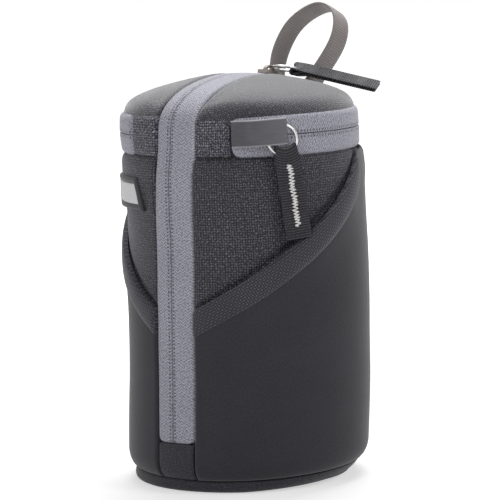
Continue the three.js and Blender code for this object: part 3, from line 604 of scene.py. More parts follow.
def refinish(name, finish):
    """Gives a CAD solid that shows another finish."""
    slots = frame["nodes"][name].data.materials
    slots.clear()
    slots.append(finish)


# %% [markdown]
# ## The round wall
# The wall is a tube, so a point on it is a radius, an angle from the front zip and a height. A soft pouch
# does not stand quite straight: its foot and lid sit a little to the left of the picture and its middle to
# the right, and the front zip wanders a few millimetres round the wall. Two small tables hold that sway and
# that drift, and every cloth piece shares them. Where a panel meets a seam its edge rolls in, which is what
# makes a sewn edge look soft. A roll is written as its width and its depth.

# %% Wall place
WALL, COVER, POCKET_OUT = 51.5, 1.0, 52.8
ARC = math.radians(1) * WALL  # mm round the wall to a degree
SEAM_ANGLE, ZIP_LEFT, ZIP_RIGHT = 127.0, -11.1, 10.7
SEAM_GAP, SEAM_CLOSE = 0.3, 0.05  # degrees that a panel ends before a seam
BASE_SEAM = 6.4
BAND_LOW, BAND_SPLIT, BAND_TOP = 143.0, 152.0, 160.5
DRIFT_REACH = 40.0
DIP, DIP_SLOPE, DIP_CURVE = 0.4, -0.8, -0.6
TABLE_LOW, TABLE_HIGH, SMOOTH_OVER = -20.0, 300.0, 15
fine_height = np.arange(TABLE_LOW, TABLE_HIGH)
smoothing = np.hanning(SMOOTH_OVER) / np.hanning(SMOOTH_OVER).sum()


def eased(rows):
    """A table of heights and shifts in mm, filled in straight between its rows and then averaged over
    SMOOTH_OVER mm."""
    margin = SMOOTH_OVER // 2
    filled = np.interp(np.arange(TABLE_LOW - margin, TABLE_HIGH + margin), *np.transpose(rows))
    return np.convolve(filled, smoothing, "valid")


sway_table = eased([(0, -1.2), (8, -1.2), (15, -1.0), (25, -0.6), (45, 0.3), (75, 0.9), (100, 0.9),
                    (130, 0.2), (143, -0.5), (152, -1.0)])
drift_table = eased([(25, -2.4), (40, -2.8), (60, -2.9), (82, -2.8), (108, -1.9), (121, -1.5), (134, -0.5),
                     (147, 2.4), (155, 3.2), (170, 2.8), (200, 1.2), (235, 0)])


def sway(height):
    """How far the pouch stands to the right of the picture at a height, as x and y."""
    shift = np.interp(height, fine_height, sway_table)
    return shift * picture_right[0], shift * picture_right[1]


def drift(height):
    """How far the front zip lies to the right of the front at a height."""
    return np.interp(height, fine_height, drift_table)


def dipped(angle, height):
    """The base seam hangs lowest at the front of the picture and rises at the right: with s the sine of the
    angle from the view, it hangs DIP + DIP_SLOPE * s + DIP_CURVE * s ** 2, with a share by height,
    h / h0 * exp(1 - h / h0), that is 1 at the seam and nought at the floor and further up."""
    share = height / BASE_SEAM * np.exp(1 - height / BASE_SEAM)
    sideways = np.sin(np.radians(angle) - VIEW_ANGLE)
    return height - (DIP + DIP_SLOPE * sideways + DIP_CURVE * sideways ** 2) * share


def around(radius, angle, height):
    """radius * (sin, -cos) of the angle in degrees, moved by the sway, and near the front by the zip's
    drift, which fades as half of (1 + cos) towards both sides."""
    from_front = np.abs((np.asarray(angle) + 180) % 360 - 180)
    fade = (1 + np.cos(np.pi * np.clip(from_front / DRIFT_REACH, 0, 1))) / 2
    turn = np.radians(angle) + drift(height) / WALL * fade
    sway_x, sway_y = sway(height)
    x = radius * np.sin(turn) + sway_x
    y = -radius * np.cos(turn) + sway_y
    return stacked(x, y, dipped(angle, height))


print("wall", 2 * WALL, "mm across, seams at", SEAM_ANGLE, "degrees")

# %% Wall edges and grids
CORNER_HEIGHT, CORNER_DEPTH, CORNER_LAP = 8.5, 4.8, 0.6
EDGE_DRAWN, EDGE_POINTS = 3.0, 7
SOFT_WAVES = [(0.16, 3, 23), (0.14, 5, -31), (0.1, 2, 9)]  # mm high, waves round the wall, mm of height


def roll_in(distance, width, depth):
    """A quarter round edge: depth * (1 - sqrt(1 - (1 - distance / width) ** 2)), nought beyond the width."""
    share = 1 - np.clip(distance / width, 0, 1)
    return depth * (1 - np.sqrt(1 - share ** 2))


def side_rolls(angle, left, right, width, depth):
    """The same roll along the left and the right edge of a panel."""
    return roll_in((angle - left) * ARC, width, depth) + roll_in((right - angle) * ARC, width, depth)


def from_edge(angle, height, left, right, low, high):
    """The distance in mm to the nearest of a panel's four edges."""
    sideways = np.minimum(angle - left, right - angle) * ARC
    return np.minimum(sideways, np.minimum(height - low, high - height))


def spaced(low, high, step):
    """Values about a step apart, drawn together over EDGE_DRAWN mm at both ends, where edges roll."""
    ease = EDGE_DRAWN * (1 - np.cos(np.linspace(0, np.pi / 2, EDGE_POINTS)))
    count = max(2, round((high - low - 2 * EDGE_DRAWN) / step) + 1)
    middle = np.linspace(low + EDGE_DRAWN, high - EDGE_DRAWN, count)
    return np.concatenate([low + ease[:-1], middle, high - ease[-2::-1]])


def wall_grid(left, right, low, high, step):
    """Grids of angle and height: rows go up, columns go round. Angles are spaced by length on the wall."""
    columns = spaced(left * ARC, right * ARC, step) / ARC
    return np.meshgrid(columns, spaced(low, high, step))


def wall_slab(radius, angle, height, thickness):
    """A cloth blank of a thickness on the wall, with a UV map of the length round and up in mm."""
    uv = np.stack([angle * ARC, height], -1)
    return slab(around(radius, angle, height), around(radius - thickness, angle, height), uv)


def corner_in(height):
    """How far the wall draws in above the base seam."""
    return roll_in(height - BASE_SEAM + CORNER_LAP, CORNER_HEIGHT, CORNER_DEPTH)


def soft(angle, height):
    """Slow unevenness of stuffed cloth: crossing waves, size * sin(count * angle + height / length)."""
    turn = np.radians(angle)
    return sum(size * np.sin(count * turn + height / length) for size, count, length in SOFT_WAVES)


# %% [markdown]
# ## Base and padding
# Below its seam the pouch has a shallow rounded foot. Inside, foam under a brushed lining stiffens the wall,
# the base and the lid. Padding is a full, closed form whose edges are round, so each pad is a slab with deep
# rolls.

# %% Base cover
BASE_FLAT, BASE_RIM, BASE_BEND, BASE_INSIDE = 45.0, 49.0, 5.3, 1.1
BASE_LEAN, BASE_LIFT, LIFT_WIDE = -2.6, 1.7, 9.0
PAD_SIDES = 96


def lathe(profile, count=160, lean=0.0, lift=0.0):
    """A profile of radius and height turned about the swayed axis; points on the axis join into one. Its
    foot may lean to the right of the picture by lean mm, and its rim may lift there by lift mm. Both fade up
    to the base seam."""
    turn = np.linspace(0, 2 * np.pi, count + 1)
    radius, height = profile[:, 0][:, None], profile[:, 1][:, None]
    sway_x, sway_y = sway(height)
    fade = np.clip(1 - height / BASE_SEAM, 0, 1)
    x = radius * np.sin(turn) + sway_x + lean * fade * picture_right[0]
    y = -radius * np.cos(turn) + sway_y + lean * fade * picture_right[1]
    rim = np.clip((radius - BASE_FLAT + LIFT_WIDE) / LIFT_WIDE, 0, 1) * fade
    z = dipped(np.degrees(turn), height) + lift * np.clip(np.sin(turn - VIEW_ANGLE), 0, 1) * rim
    uv = stacked(turn[None] * WALL, run_along(profile)[:, None])
    faces = grid_faces(len(profile), count + 1)
    return merged(stacked(x, y, z).reshape(-1, 3), faces, uv.reshape(-1, 2))


turn = np.linspace(0, np.pi / 2, 12)
under = stacked(np.linspace(0, BASE_FLAT, 12)[:-1], 0.0)
bend = stacked(BASE_FLAT + (BASE_RIM - BASE_FLAT) * np.sin(turn), BASE_BEND * (1 - np.cos(turn)))
tuck = np.array([[BASE_RIM - 0.6, 5.9], [BASE_RIM - 2.2, 6.1], [BASE_RIM - 3.2, 5.4],
                 [BASE_FLAT - 1, BASE_INSIDE], [0, BASE_INSIDE]])
base_blank = lathe(np.concatenate([under, bend, tuck]), lean=BASE_LEAN, lift=BASE_LIFT)
piece("base_cover_cloth", base_blank, fine_weave, "case", ["base_cover"])
refinish("base_board", board_plastic)

# %% Base padding
PAD_EDGE, PAD_BULGE, PAD_MIDDLE, PAD_HALF = 42.4, 1.8, 6.15, 2.5
PAD_FLAT, PAD_TOP = 20.0, 8.7

swell = np.sin(np.linspace(-np.pi / 2, np.pi / 2, 10))
pad_side = np.stack([PAD_EDGE + PAD_BULGE * swell, PAD_MIDDLE + PAD_HALF * swell], 1)
base_profile = np.concatenate([[[0, PAD_MIDDLE - PAD_HALF]], pad_side, [[PAD_FLAT, PAD_TOP], [0, PAD_TOP]]])
base_pad = piece("base_padding", lathe(base_profile, PAD_SIDES), tricot, "case",
                 ["base_foam", "base_lining"])

# %% Wall padding
LEFT_BEND = ("case", "left_flap", 21.0, 112.0)
PAD_INNER, PAD_OUTER, PAD_LEAST, PAD_STEP = 44.0, 48.5, 0.2, 5.0
PAD_ROLL, PAD_CORNER = (3.0, 2.6), 0.9
QUILT, QUILT_COUNT = 0.25, 9
PAD_LOW, PAD_TOP_RIGHT, PAD_TOP_LEFT = 9.0, 147.2, 142.7
PAD_ZIP_RIGHT, PAD_ZIP_LEFT, PAD_SEAM_GAP = 6.2, -6.0, 0.03


def wall_pad(left, right, low, high):
    """A pad between two radii: both faces bow in towards each other along all four edges."""
    angle, height = wall_grid(left, right, low, high, PAD_STEP)
    give = roll_in(from_edge(angle, height, left, right, low, high), *PAD_ROLL)
    share = np.clip((height - low) / (high - low), 0, 1)
    quilt = QUILT * np.cos(np.radians(angle) * QUILT_COUNT) * np.sin(np.pi * share)
    outside = PAD_OUTER - give - corner_in(height) * PAD_CORNER
    inside = np.minimum(PAD_INNER + give + quilt, outside - PAD_LEAST)
    uv = np.stack([angle * ARC, height], -1)
    return slab(around(outside, angle, height), around(inside, angle, height), uv)


right_pad = piece("right_wall_padding",
                  wall_pad(PAD_ZIP_RIGHT, 360 - SEAM_ANGLE - PAD_SEAM_GAP, PAD_LOW, PAD_TOP_RIGHT),
                  tricot, "case", ["wall_foam", "wall_lining"])
left_pad = piece("left_wall_padding",
                 wall_pad(PAD_SEAM_GAP - SEAM_ANGLE, PAD_ZIP_LEFT, PAD_LOW, PAD_TOP_LEFT),
                 tricot, LEFT_BEND, ["left_wall_foam", "left_wall_lining", "foot_foam", "foot_lining"])
print("base and wall padding made")

# %% [markdown]
# ## Wall covers
# The front half of the wall is ballistic nylon, right and left of the zip, and the back is the plain knit.
# Each panel is one continuous sheet. The left one runs from the case, where it is sewn to the base, to the
# flap that opens.

# %% Wall covers
MOUTH_FROM, MOUTH_END = 10.6, 103.7
MOUTH_FRONT, MOUTH_SLOPE, MOUTH_CURVE, MOUTH_TOP = 77.8, 0.585, 0.0015, 141.8
PRESS, PRESS_ABOVE, PRESS_WIDE = 1.5, 0.6, 1.7
BULGE, BULGE_AT, BULGE_WIDE = 0.8, 134, 10
WALL_SIDE_ROLL, WALL_TOP_ROLL = (1.8, 2.0), (4.0, 2.2)
COVER_TOP, BACK_OUT, FINE_STEP = BAND_LOW + 0.1, 52.6, 1.1


def mouth_run(angle):
    """Length round the wall from the zip's edge, in mm."""
    return np.radians(np.abs(angle) - MOUTH_FROM) * POCKET_OUT


def mouth_height(angle):
    """Height of the pocket's mouth: a gentle upward curve, level once it meets the band."""
    run = mouth_run(angle)
    return np.minimum(MOUTH_FRONT + MOUTH_SLOPE * run + MOUTH_CURVE * run ** 2, MOUTH_TOP)


def wall_cover(left, right, radius, press=0.0, step=3.0):
    """A panel whose edges roll in: deepest above the base seam, less at the top and along its sides. Its face
    bulges below the band, and the pocket's tight binding presses a groove into it, a bell curve along the
    mouth."""
    angle, height = wall_grid(left, right, BASE_SEAM, COVER_TOP, step)
    sides = side_rolls(angle, left, right, *WALL_SIDE_ROLL)
    face = radius + soft(angle, height) - sides - roll_in(COVER_TOP - height, *WALL_TOP_ROLL)
    face = face - corner_in(height) + BULGE * np.exp(-((height - BULGE_AT) / BULGE_WIDE) ** 2)
    face = face - press * np.exp(-((height - mouth_height(angle) - PRESS_ABOVE) / PRESS_WIDE) ** 2)
    return wall_slab(face, angle, height, COVER)


piece("right_wall_cloth", wall_cover(ZIP_RIGHT, SEAM_ANGLE - SEAM_GAP, WALL, PRESS, FINE_STEP), ballistic,
      "case", ["right_wall_cover"])
piece("left_wall_cloth", wall_cover(SEAM_CLOSE - SEAM_ANGLE, ZIP_LEFT, WALL, PRESS, FINE_STEP), ballistic,
      LEFT_BEND, ["left_wall_cover", "left_foot_cover"])
piece("back_wall_cloth", wall_cover(SEAM_ANGLE + SEAM_GAP, 360 - SEAM_ANGLE - SEAM_CLOSE, BACK_OUT),
      stretch_knit, "case", ["back_wall_cover"])
print("wall covers made")

# %% [markdown]
# ## Stretch pockets
# Each pocket is a sheet of knit from the base seam up to a slanted mouth, lowest beside the zip and reaching
# the top band near the side seam. Its mouth is bound with ribbed tape and stands a little off the wall, which
# is why a dark line shows behind it. The sheet's rows run from the seam to the mouth, so they fan out with
# the slant.

# %% Pockets
STAND_LEFT, STAND_RIGHT, STAND_LOW, STAND_FADE, STAND_POWER = 0.6, 3.0, 4.0, 15.0, 0.6
POCKET_ZIP_ROLL, POCKET_SEAM_ROLL, POCKET_TOP_ROLL = (1.6, 2.1), (2.4, 1.4), (3.0, 0.8)
POCKET_STEP, POCKET_FOOT, POCKET_LEVEL = 2.6, 0.12, 4.0


def stand_off(angle, below):
    """How far the pocket stands off the wall: most halfway along, a little below the mouth, fading down."""
    share = np.clip((np.abs(angle) - MOUTH_FROM) / (MOUTH_END - MOUTH_FROM), 0, 1)
    most = np.where(angle < 0, STAND_LEFT, STAND_RIGHT)
    return most * np.sin(np.pi * share) ** STAND_POWER * np.exp(-((below - STAND_LOW) / STAND_FADE) ** 2)


def pocket_angles(near, far, step):
    """Angles from beside the zip towards the side seam, on the side of the wall that near lies on."""
    return np.sort(math.copysign(1, near) * spaced(abs(near) * ARC, abs(far) * ARC, step) / ARC)


def pocket_cloth(near, far):
    """A sheet from the zip to the side seam; its rows are shares of the way from the base seam to the mouth,
    closer together at the foot. Its top rolls in where the mouth runs level under the band."""
    columns = pocket_angles(near, far, POCKET_STEP)
    share = np.concatenate([np.linspace(0, POCKET_FOOT, 12)[:-1], np.linspace(POCKET_FOOT, 1, 48)])[:, None]
    angle = np.broadcast_to(columns, (len(share), len(columns)))
    height = BASE_SEAM + share * (mouth_height(angle) - BASE_SEAM)
    sides = roll_in((np.abs(angle) - abs(near)) * ARC, *POCKET_ZIP_ROLL)
    sides = sides + roll_in((abs(far) - np.abs(angle)) * ARC, *POCKET_SEAM_ROLL)
    face = POCKET_OUT + soft(angle, height) - sides - corner_in(height)
    face = face + stand_off(angle, mouth_height(angle) - height)
    level = np.abs(angle) > MOUTH_END - POCKET_LEVEL
    return wall_slab(face - roll_in(MOUTH_TOP - height, *POCKET_TOP_ROLL) * level, angle, height, COVER)


piece("right_pocket_cloth", pocket_cloth(ZIP_RIGHT, SEAM_ANGLE - SEAM_GAP), stretch_knit, "case",
      ["right_pocket"])
piece("left_pocket_cloth", pocket_cloth(ZIP_LEFT, SEAM_GAP - SEAM_ANGLE), stretch_knit, LEFT_BEND,
      ["left_pocket"])

# %% Bindings
BINDING_WIDTH, BINDING_THICK, BINDING_LAP, BINDING_SHORT = 10.0, 1.5, 0.6, 0.4
BINDING_ROLL, BINDING_ROWS, BINDING_STEP = (2.0, 1.4), 15, 1.5
BINDING_SUNK, BINDING_BACK, WRAP_FROM, WRAP_OVER = 0.1, 0.25, 0.86, 0.1


def binding_tape(near):
    """A strip along the mouth: rows go from its lower edge to the mouth, crowned between two round edges, and
    its back wraps over the mouth's edge."""
    columns = pocket_angles(near, MOUTH_END - BINDING_SHORT, BINDING_STEP)
    share = (1 - np.cos(np.linspace(0, np.pi, BINDING_ROWS)))[:, None] / 2
    angle = np.broadcast_to(columns, (BINDING_ROWS, len(columns)))
    drop = BINDING_WIDTH * np.hypot(1, MOUTH_SLOPE + 2 * MOUTH_CURVE * mouth_run(angle))
    height = mouth_height(angle) + BINDING_LAP - drop * (1 - share)
    crown = BINDING_THICK * np.sqrt(1 - np.abs(2 * share - 1) ** 3)
    sides = roll_in((np.abs(angle) - abs(near)) * ARC, *BINDING_ROLL)
    base = POCKET_OUT - BINDING_SUNK + soft(angle, height) - sides
    base = base + stand_off(angle, mouth_height(angle) - height)
    wrap = np.clip((share - WRAP_FROM) / WRAP_OVER, 0, 1)
    inner = base - BINDING_BACK - (COVER + BINDING_SUNK) * wrap
    uv = np.stack([mouth_run(angle) * math.copysign(1, near), height], -1)
    return slab(around(base + crown, angle, height), around(inner, angle, height), uv)


piece("right_binding_tape", binding_tape(ZIP_RIGHT), ribbed_binding, "case",
      ["right_pocket_binding"])
piece("left_binding_tape", binding_tape(ZIP_LEFT), ribbed_binding, LEFT_BEND,
      ["left_pocket_binding"])
print("pockets from", MOUTH_FRONT, "to", MOUTH_TOP, "mm at the mouth")

# %% [markdown]
# ## The front zip
# One zip runs straight up the front, over the edge of the lid and along the dome. Its line is a path of y and
# z: up the wall, round a soft corner, then an arc of the dome. A point of the tape is that path moved
# sideways, and sunk a little at the edges, where the tape goes under the wall panels.

# %% Front zip line
DOME_RADIUS, DOME_CENTRE = 90.4961, 85.2039
ZIP_LOW, ZIP_BACK, TAPE_BACK, LANDING = 21.2, 32.0, 36.5, -42.0
KNEE_LOW, COLLAR_TOP = 154.0, 164.0
CLIMB_POINTS, CORNER_POINTS, DOME_POINTS = 140, 24, 94
RIDGE, RIDGE_AT, RIDGE_LONG, RIDGE_WIDE = 1.8, -40.0, 16.0, 24.0
BEND_OVER = 30.0
CHAIN_HEIGHTS, CHAIN_SHIFTS = [0, 110, 146, 190, 250], [-1.5, -1.5, -2.5, -2.4, 0]


def ridge(x, y):
    """The zip stiffens the lid, so the dome stands up along it near the front: a hump in y, fading with x."""
    return RIDGE * np.exp(-((y - RIDGE_AT) / RIDGE_LONG) ** 2 - (x / RIDGE_WIDE) ** 2)


climb_line = stacked(-WALL, np.linspace(ZIP_LOW, KNEE_LOW, CLIMB_POINTS))
dome_turn = np.linspace(math.asin(LANDING / DOME_RADIUS), math.asin(TAPE_BACK / DOME_RADIUS), DOME_POINTS)
dome_line = np.stack([DOME_RADIUS * np.sin(dome_turn), DOME_CENTRE + DOME_RADIUS * np.cos(dome_turn)], 1)
dome_line[:, 1] += ridge(0, dome_line[:, 0])
# The corner is a quadratic curve from the wall to the dome, whose knee lies on both of their tangents.
first_step = dome_line[1] - dome_line[0]
knee_height = dome_line[0, 1] - (dome_line[0, 0] + WALL) * first_step[1] / first_step[0]
share = np.linspace(0, 1, CORNER_POINTS)[1:, None]
corner_line = (1 - share) ** 2 * climb_line[-1] + 2 * share * (1 - share) * np.array([-WALL, knee_height])
corner_line = corner_line + share ** 2 * dome_line[0]
zip_line = np.concatenate([climb_line, corner_line, dome_line[1:]])
zip_run = run_along(zip_line)
zip_ahead = unit(np.gradient(zip_line, zip_run, axis=0))
ZIP_END = zip_run[-1]
COLLAR_FROM, COLLAR_TO = BAND_LOW - ZIP_LOW, COLLAR_TOP - ZIP_LOW


def zip_point(run, across, depth):
    """The path's point, moved across, and sunk by depth plus the sagitta across ** 2 / (2 * radius) of its
    bend, which eases from the wall's to the dome's over BEND_OVER mm."""
    y, z = (np.interp(run, zip_run, zip_line[:, i]) for i in (0, 1))
    ahead_y, ahead_z = (np.interp(run, zip_run, zip_ahead[:, i]) for i in (0, 1))
    over = smooth_step(np.clip((run - COLLAR_FROM) / BEND_OVER, 0, 1))
    bow = 1 / WALL + (1 / DOME_RADIUS - 1 / WALL) * over
    down = depth + across ** 2 * bow / 2
    sway_x, sway_y = sway(z)
    x = across + drift(ZIP_LOW + run) + sway_x
    return stacked(x, y + ahead_z * down + sway_y, z - ahead_y * down)


def chain_line(run):
    """Where the two tapes meet: a little left of the middle on the wall, easing back to it over the dome."""
    return np.interp(ZIP_LOW + run, CHAIN_HEIGHTS, CHAIN_SHIFTS)


print("front zip", round(ZIP_END, 1), "mm long")

# %% Front zip tapes
TAPE_LEFT, TAPE_RIGHT, TAPE_THICK, CHAIN_GAP = -9.75, 9.4, 0.7, 0.17
TAPE_STEP, TAPE_COLUMNS, TAPE_ROUND = 1.8, 17, 3.0
TAPE_EDGE_ROLL, CHAIN_ROLL, TAPE_END_ROLL = (1.3, 1.3), (0.6, 0.8), (1.2, 0.8)
LID_BEND = ("case", "lid", 146.0, 158.5)
SIDES = (("right", 1, "case"), ("left", -1, LEFT_BEND))


def zip_tape_blank(side, start, stop, round_end=0.0):
    """One tape, from the chain to its outer edge. A rounded end draws the outer edge in over its first mm, by
    a quarter circle."""
    run = np.linspace(start, stop, max(8, round((stop - start) / TAPE_STEP)))
    if round_end:
        first = start + round_end * (1 - np.cos(np.linspace(0, np.pi / 2, 8)))
        run = np.concatenate([first[:-1], np.linspace(start + round_end, stop, len(run))])
    run = run[:, None]
    before = round_end - np.clip(run - start, 0, round_end)
    cut = round_end - np.sqrt(np.clip(round_end ** 2 - before ** 2, 0, None))
    inner = chain_line(run) + side * CHAIN_GAP
    edge = (TAPE_RIGHT if side > 0 else TAPE_LEFT) - side * cut
    share = (1 - np.cos(np.linspace(0, np.pi, TAPE_COLUMNS)))[None] / 2
    across = inner + (edge - inner) * share
    from_chain = across - chain_line(run)
    sunk = roll_in(np.abs(edge - across), *TAPE_EDGE_ROLL)
    sunk = sunk + roll_in(np.abs(from_chain) - CHAIN_GAP, *CHAIN_ROLL)
    if round_end:
        sunk = sunk + roll_in(run - start, *TAPE_END_ROLL)
    uv = stacked(from_chain, run)
    return slab(zip_point(run, across, sunk), zip_point(run, across, sunk + TAPE_THICK), uv)


for word, side, body in SIDES:
    piece(f"front_tape_{word}", zip_tape_blank(side, 0, COLLAR_FROM, TAPE_ROUND), zip_tape, body,
          [f"side_zip_tape_{word}"])
for word, side, _ in SIDES:
    piece(f"collar_tape_{word}", zip_tape_blank(side, COLLAR_FROM, COLLAR_TO), zip_tape, LID_BEND,
          ["side_zip_tape_collar"] if word == "left" else [])
for word, side, _ in SIDES:
    piece(f"lid_tape_{word}", zip_tape_blank(side, COLLAR_TO, ZIP_END), zip_tape, "lid",
          [f"lid_zip_tape_{word}"])
print("front tapes", TAPE_RIGHT - TAPE_LEFT, "mm wide together")

# %% [markdown]
# ## Zip coils
# Behind the tapes each row is one nylon filament wound into a flat spiral, and the two spirals mesh, half a
# pitch apart. The turn of the spiral gives the offset across (a cosine) and the depth (a sine), so a coil is
# one tube.

# %% Coils
COIL_PITCH, COIL_WIRE, TURN_POINTS, COIL_NUDGE = 1.4, 0.3, 10, 0.2
COIL_HEAD, COIL_BACK, COIL_FRONT, COIL_DEEP = -0.5, 2.3, 1.1, 2.5
COIL_FOOT, COIL_SHORT = 1.5, 12.8


def coil(place, side, start, stop):
    """A spiral along a zip: place(run, across, depth) puts it there. The two sides are half a turn apart."""
    count = int((stop - start) / COIL_PITCH)
    turn = np.linspace(0, 2 * np.pi * count, TURN_POINTS * count + 1)
    run = start + (turn / (2 * np.pi) + (0.25 if side > 0 else 0.75)) * COIL_PITCH
    across = side * ((COIL_BACK + COIL_HEAD) / 2 - (COIL_BACK - COIL_HEAD) / 2 * np.cos(turn))
    depth = (COIL_FRONT + COIL_DEEP) / 2 + (COIL_DEEP - COIL_FRONT) / 2 * np.sin(turn)
    line = place(run, across, depth)
    lengthwise = place(run + COIL_NUDGE, across, depth) - place(run - COIL_NUDGE, across, depth)
    return tube(line, np.gradient(line, axis=0), lengthwise, COIL_WIRE)


def front_coil(run, across, depth):
    """On the front zip, measured from its chain line."""
    return zip_point(run, across + chain_line(run), depth)


for word, side, body in SIDES:
    piece(f"front_coil_{word}", coil(front_coil, side, COIL_FOOT, COLLAR_FROM), coil_nylon, body,
          [f"side_zip_coil_{word}"])
    piece(f"collar_coil_{word}", coil(front_coil, side, COLLAR_FROM, COLLAR_TO), coil_nylon, LID_BEND,
          [])
    piece(f"lid_coil_{word}", coil(front_coil, side, COLLAR_TO, ZIP_END - COIL_SHORT), coil_nylon, "lid",
          [f"lid_zip_coil_{word}"])
print("front coils", COIL_PITCH, "mm to a turn")

# %% [markdown]
# ## The top zip and its band
# A second zip runs round the top, from beside the tab at the front right to the front left, and a band of the
# wall's cloth fills the front between its ends: that band is the lid's hinge. The whole ring is puffy,
# standing out between the seams above and below it.

# %% Top zip tapes
TOP_START, TOP_END, SPLIT_ANGLE = 30.8, 331.0, 360 - SEAM_ANGLE
PUFF = 0.45
TOP_LOW, TOP_HIGH, CHAIN_HALF = BAND_LOW - 0.05, BAND_TOP - 0.1, 0.13
TOP_SEAM_ROLL, TOP_END_ROLL, TOP_STEP = (2.2, 1.9), (1.6, 1.0), 2.0
TOP_ROUND, TOP_ROUND_SHARE = 4.0, 0.8


def band_face(height):
    """The band's radius: a half sine between its two seams stands proud of the wall."""
    return WALL + PUFF * np.sin(np.pi * np.clip((height - BAND_LOW) / (BAND_TOP - BAND_LOW), 0, 1))


def top_tape(start, stop, low, high, ends):
    """A tape round the top. Its seam edge rolls in, its chain edge has a small round, and the corners of the
    ends that are named are drawn towards the chain by a quarter circle."""
    angle, height = wall_grid(start, stop, low, high, TOP_STEP)
    seam, chain = height - low, high - height
    if low > BAND_SPLIT:
        seam, chain = chain, seam
    face = band_face(height) - roll_in(seam, *TOP_SEAM_ROLL) - roll_in(chain, *CHAIN_ROLL)
    from_ends = {"start": (angle - start) * ARC, "stop": (stop - angle) * ARC}
    by_seam = np.clip(TOP_ROUND - seam, 0, TOP_ROUND) / TOP_ROUND * TOP_ROUND_SHARE
    for end in ends:
        face = face - roll_in(from_ends[end], *TOP_END_ROLL)
        before = np.clip(TOP_ROUND - from_ends[end], 0, TOP_ROUND)
        cut = TOP_ROUND - np.sqrt(TOP_ROUND ** 2 - before ** 2)
        height = height + np.sign(BAND_SPLIT - height) * cut * by_seam
    uv = np.stack([height - BAND_SPLIT, angle * ARC], -1)
    return slab(around(face, angle, height), around(face - TAPE_THICK, angle, height), uv)


lower = (TOP_LOW, BAND_SPLIT - CHAIN_HALF)
upper = (BAND_SPLIT + CHAIN_HALF, TOP_HIGH)
piece("top_tape_lower", top_tape(TOP_START, SPLIT_ANGLE - SEAM_CLOSE, *lower, ["start"]), zip_tape, "case",
      ["top_zip_tape_lower"])
piece("top_tape_lower_left", top_tape(SPLIT_ANGLE + SEAM_CLOSE, TOP_END, *lower, ["stop"]), zip_tape,
      "left_flap", ["top_zip_tape_left"])
piece("top_tape_upper", top_tape(TOP_START, TOP_END, *upper, ["start", "stop"]), zip_tape, "lid",
      ["top_zip_tape_upper"])

# %% Hinge band
PANEL_LOW, PANEL_HIGH, PANEL_SUNK, PANEL_STEP = BAND_LOW + 0.15, BAND_TOP - 0.1, 0.15, 1.6
PANEL_SEAM_ROLL, PANEL_SIDE_ROLL, PANEL_GAP = (3.0, 2.2), (1.8, 1.6), 0.4


def band_panel(left, right):
    """The hinge band: one panel across the fold, with soft seams above and below."""
    angle, height = wall_grid(left, right, PANEL_LOW, PANEL_HIGH, PANEL_STEP)
    seams = roll_in(height - PANEL_LOW, *PANEL_SEAM_ROLL) + roll_in(PANEL_HIGH - height, *PANEL_SEAM_ROLL)
    face = band_face(height) - PANEL_SUNK - seams - side_rolls(angle, left, right, *PANEL_SIDE_ROLL)
    return wall_slab(face, angle, height, COVER)


# The band's finish is the wall's nylon painted lighter for the light it catches.
piece("hinge_band_right", band_panel(ZIP_RIGHT, TOP_START - PANEL_GAP), band_weave_painted_lighter, LID_BEND,
      ["hinge_band_lower_right", "hinge_band_upper_right"])
piece("hinge_band_left", band_panel(TOP_END - 360 + PANEL_GAP, ZIP_LEFT), band_weave_painted_lighter, LID_BEND,
      ["hinge_band_lower_left", "hinge_band_upper_left"])

# %% Top zip coils
COIL_FROM_END, COIL_FROM_SPLIT = 2.0, 0.5  # degrees


def top_coil(run, across, depth):
    """On the top zip: run is the length round the wall, across is upwards from the chain."""
    return around(band_face(BAND_SPLIT + across) - depth, np.degrees(run / WALL), BAND_SPLIT + across)


coil_start, coil_stop = (TOP_START + COIL_FROM_END) * ARC, (TOP_END - COIL_FROM_END) * ARC
split_before, split_after = (SPLIT_ANGLE - COIL_FROM_SPLIT) * ARC, (SPLIT_ANGLE + COIL_FROM_SPLIT) * ARC
piece("top_coil_lower", coil(top_coil, -1, coil_start, split_before), coil_nylon, "case",
      ["top_zip_coil_lower"])
piece("top_coil_lower_left", coil(top_coil, -1, split_after, coil_stop), coil_nylon, "left_flap",
      ["top_zip_coil_left"])
piece("top_coil_upper", coil(top_coil, 1, coil_start, coil_stop), coil_nylon, "lid",
      ["top_zip_coil_upper"])
print("top zip runs", TOP_END - TOP_START, "degrees")

# %% [markdown]
# ## The domed lid
# The lid is a shallow dome with a slot for the zip. Its sheet is stretched between two lines: the edge of the
# slot, up one side and down the other, and the rim. Both are walked at an even pace, and each point of the
# sheet is part way between them, so the cloth has no pole and its edges follow both seams.

# %% Lid plan
LID_RIM, SLOT_HALF, SLOT_ROUND = 49.9, 9.7, 2.5
SLOT_POINTS, SLOT_END_POINTS, RIM_POINTS, LID_COLUMNS = 60, 24, 200, 220


def walk(line, count):
    """Points at an even pace along a line of points."""
    run = run_along(line)
    pace = np.linspace(0, run[-1], count)
    return np.stack([np.interp(pace, run, line[:, i]) for i in range(line.shape[1])], 1)


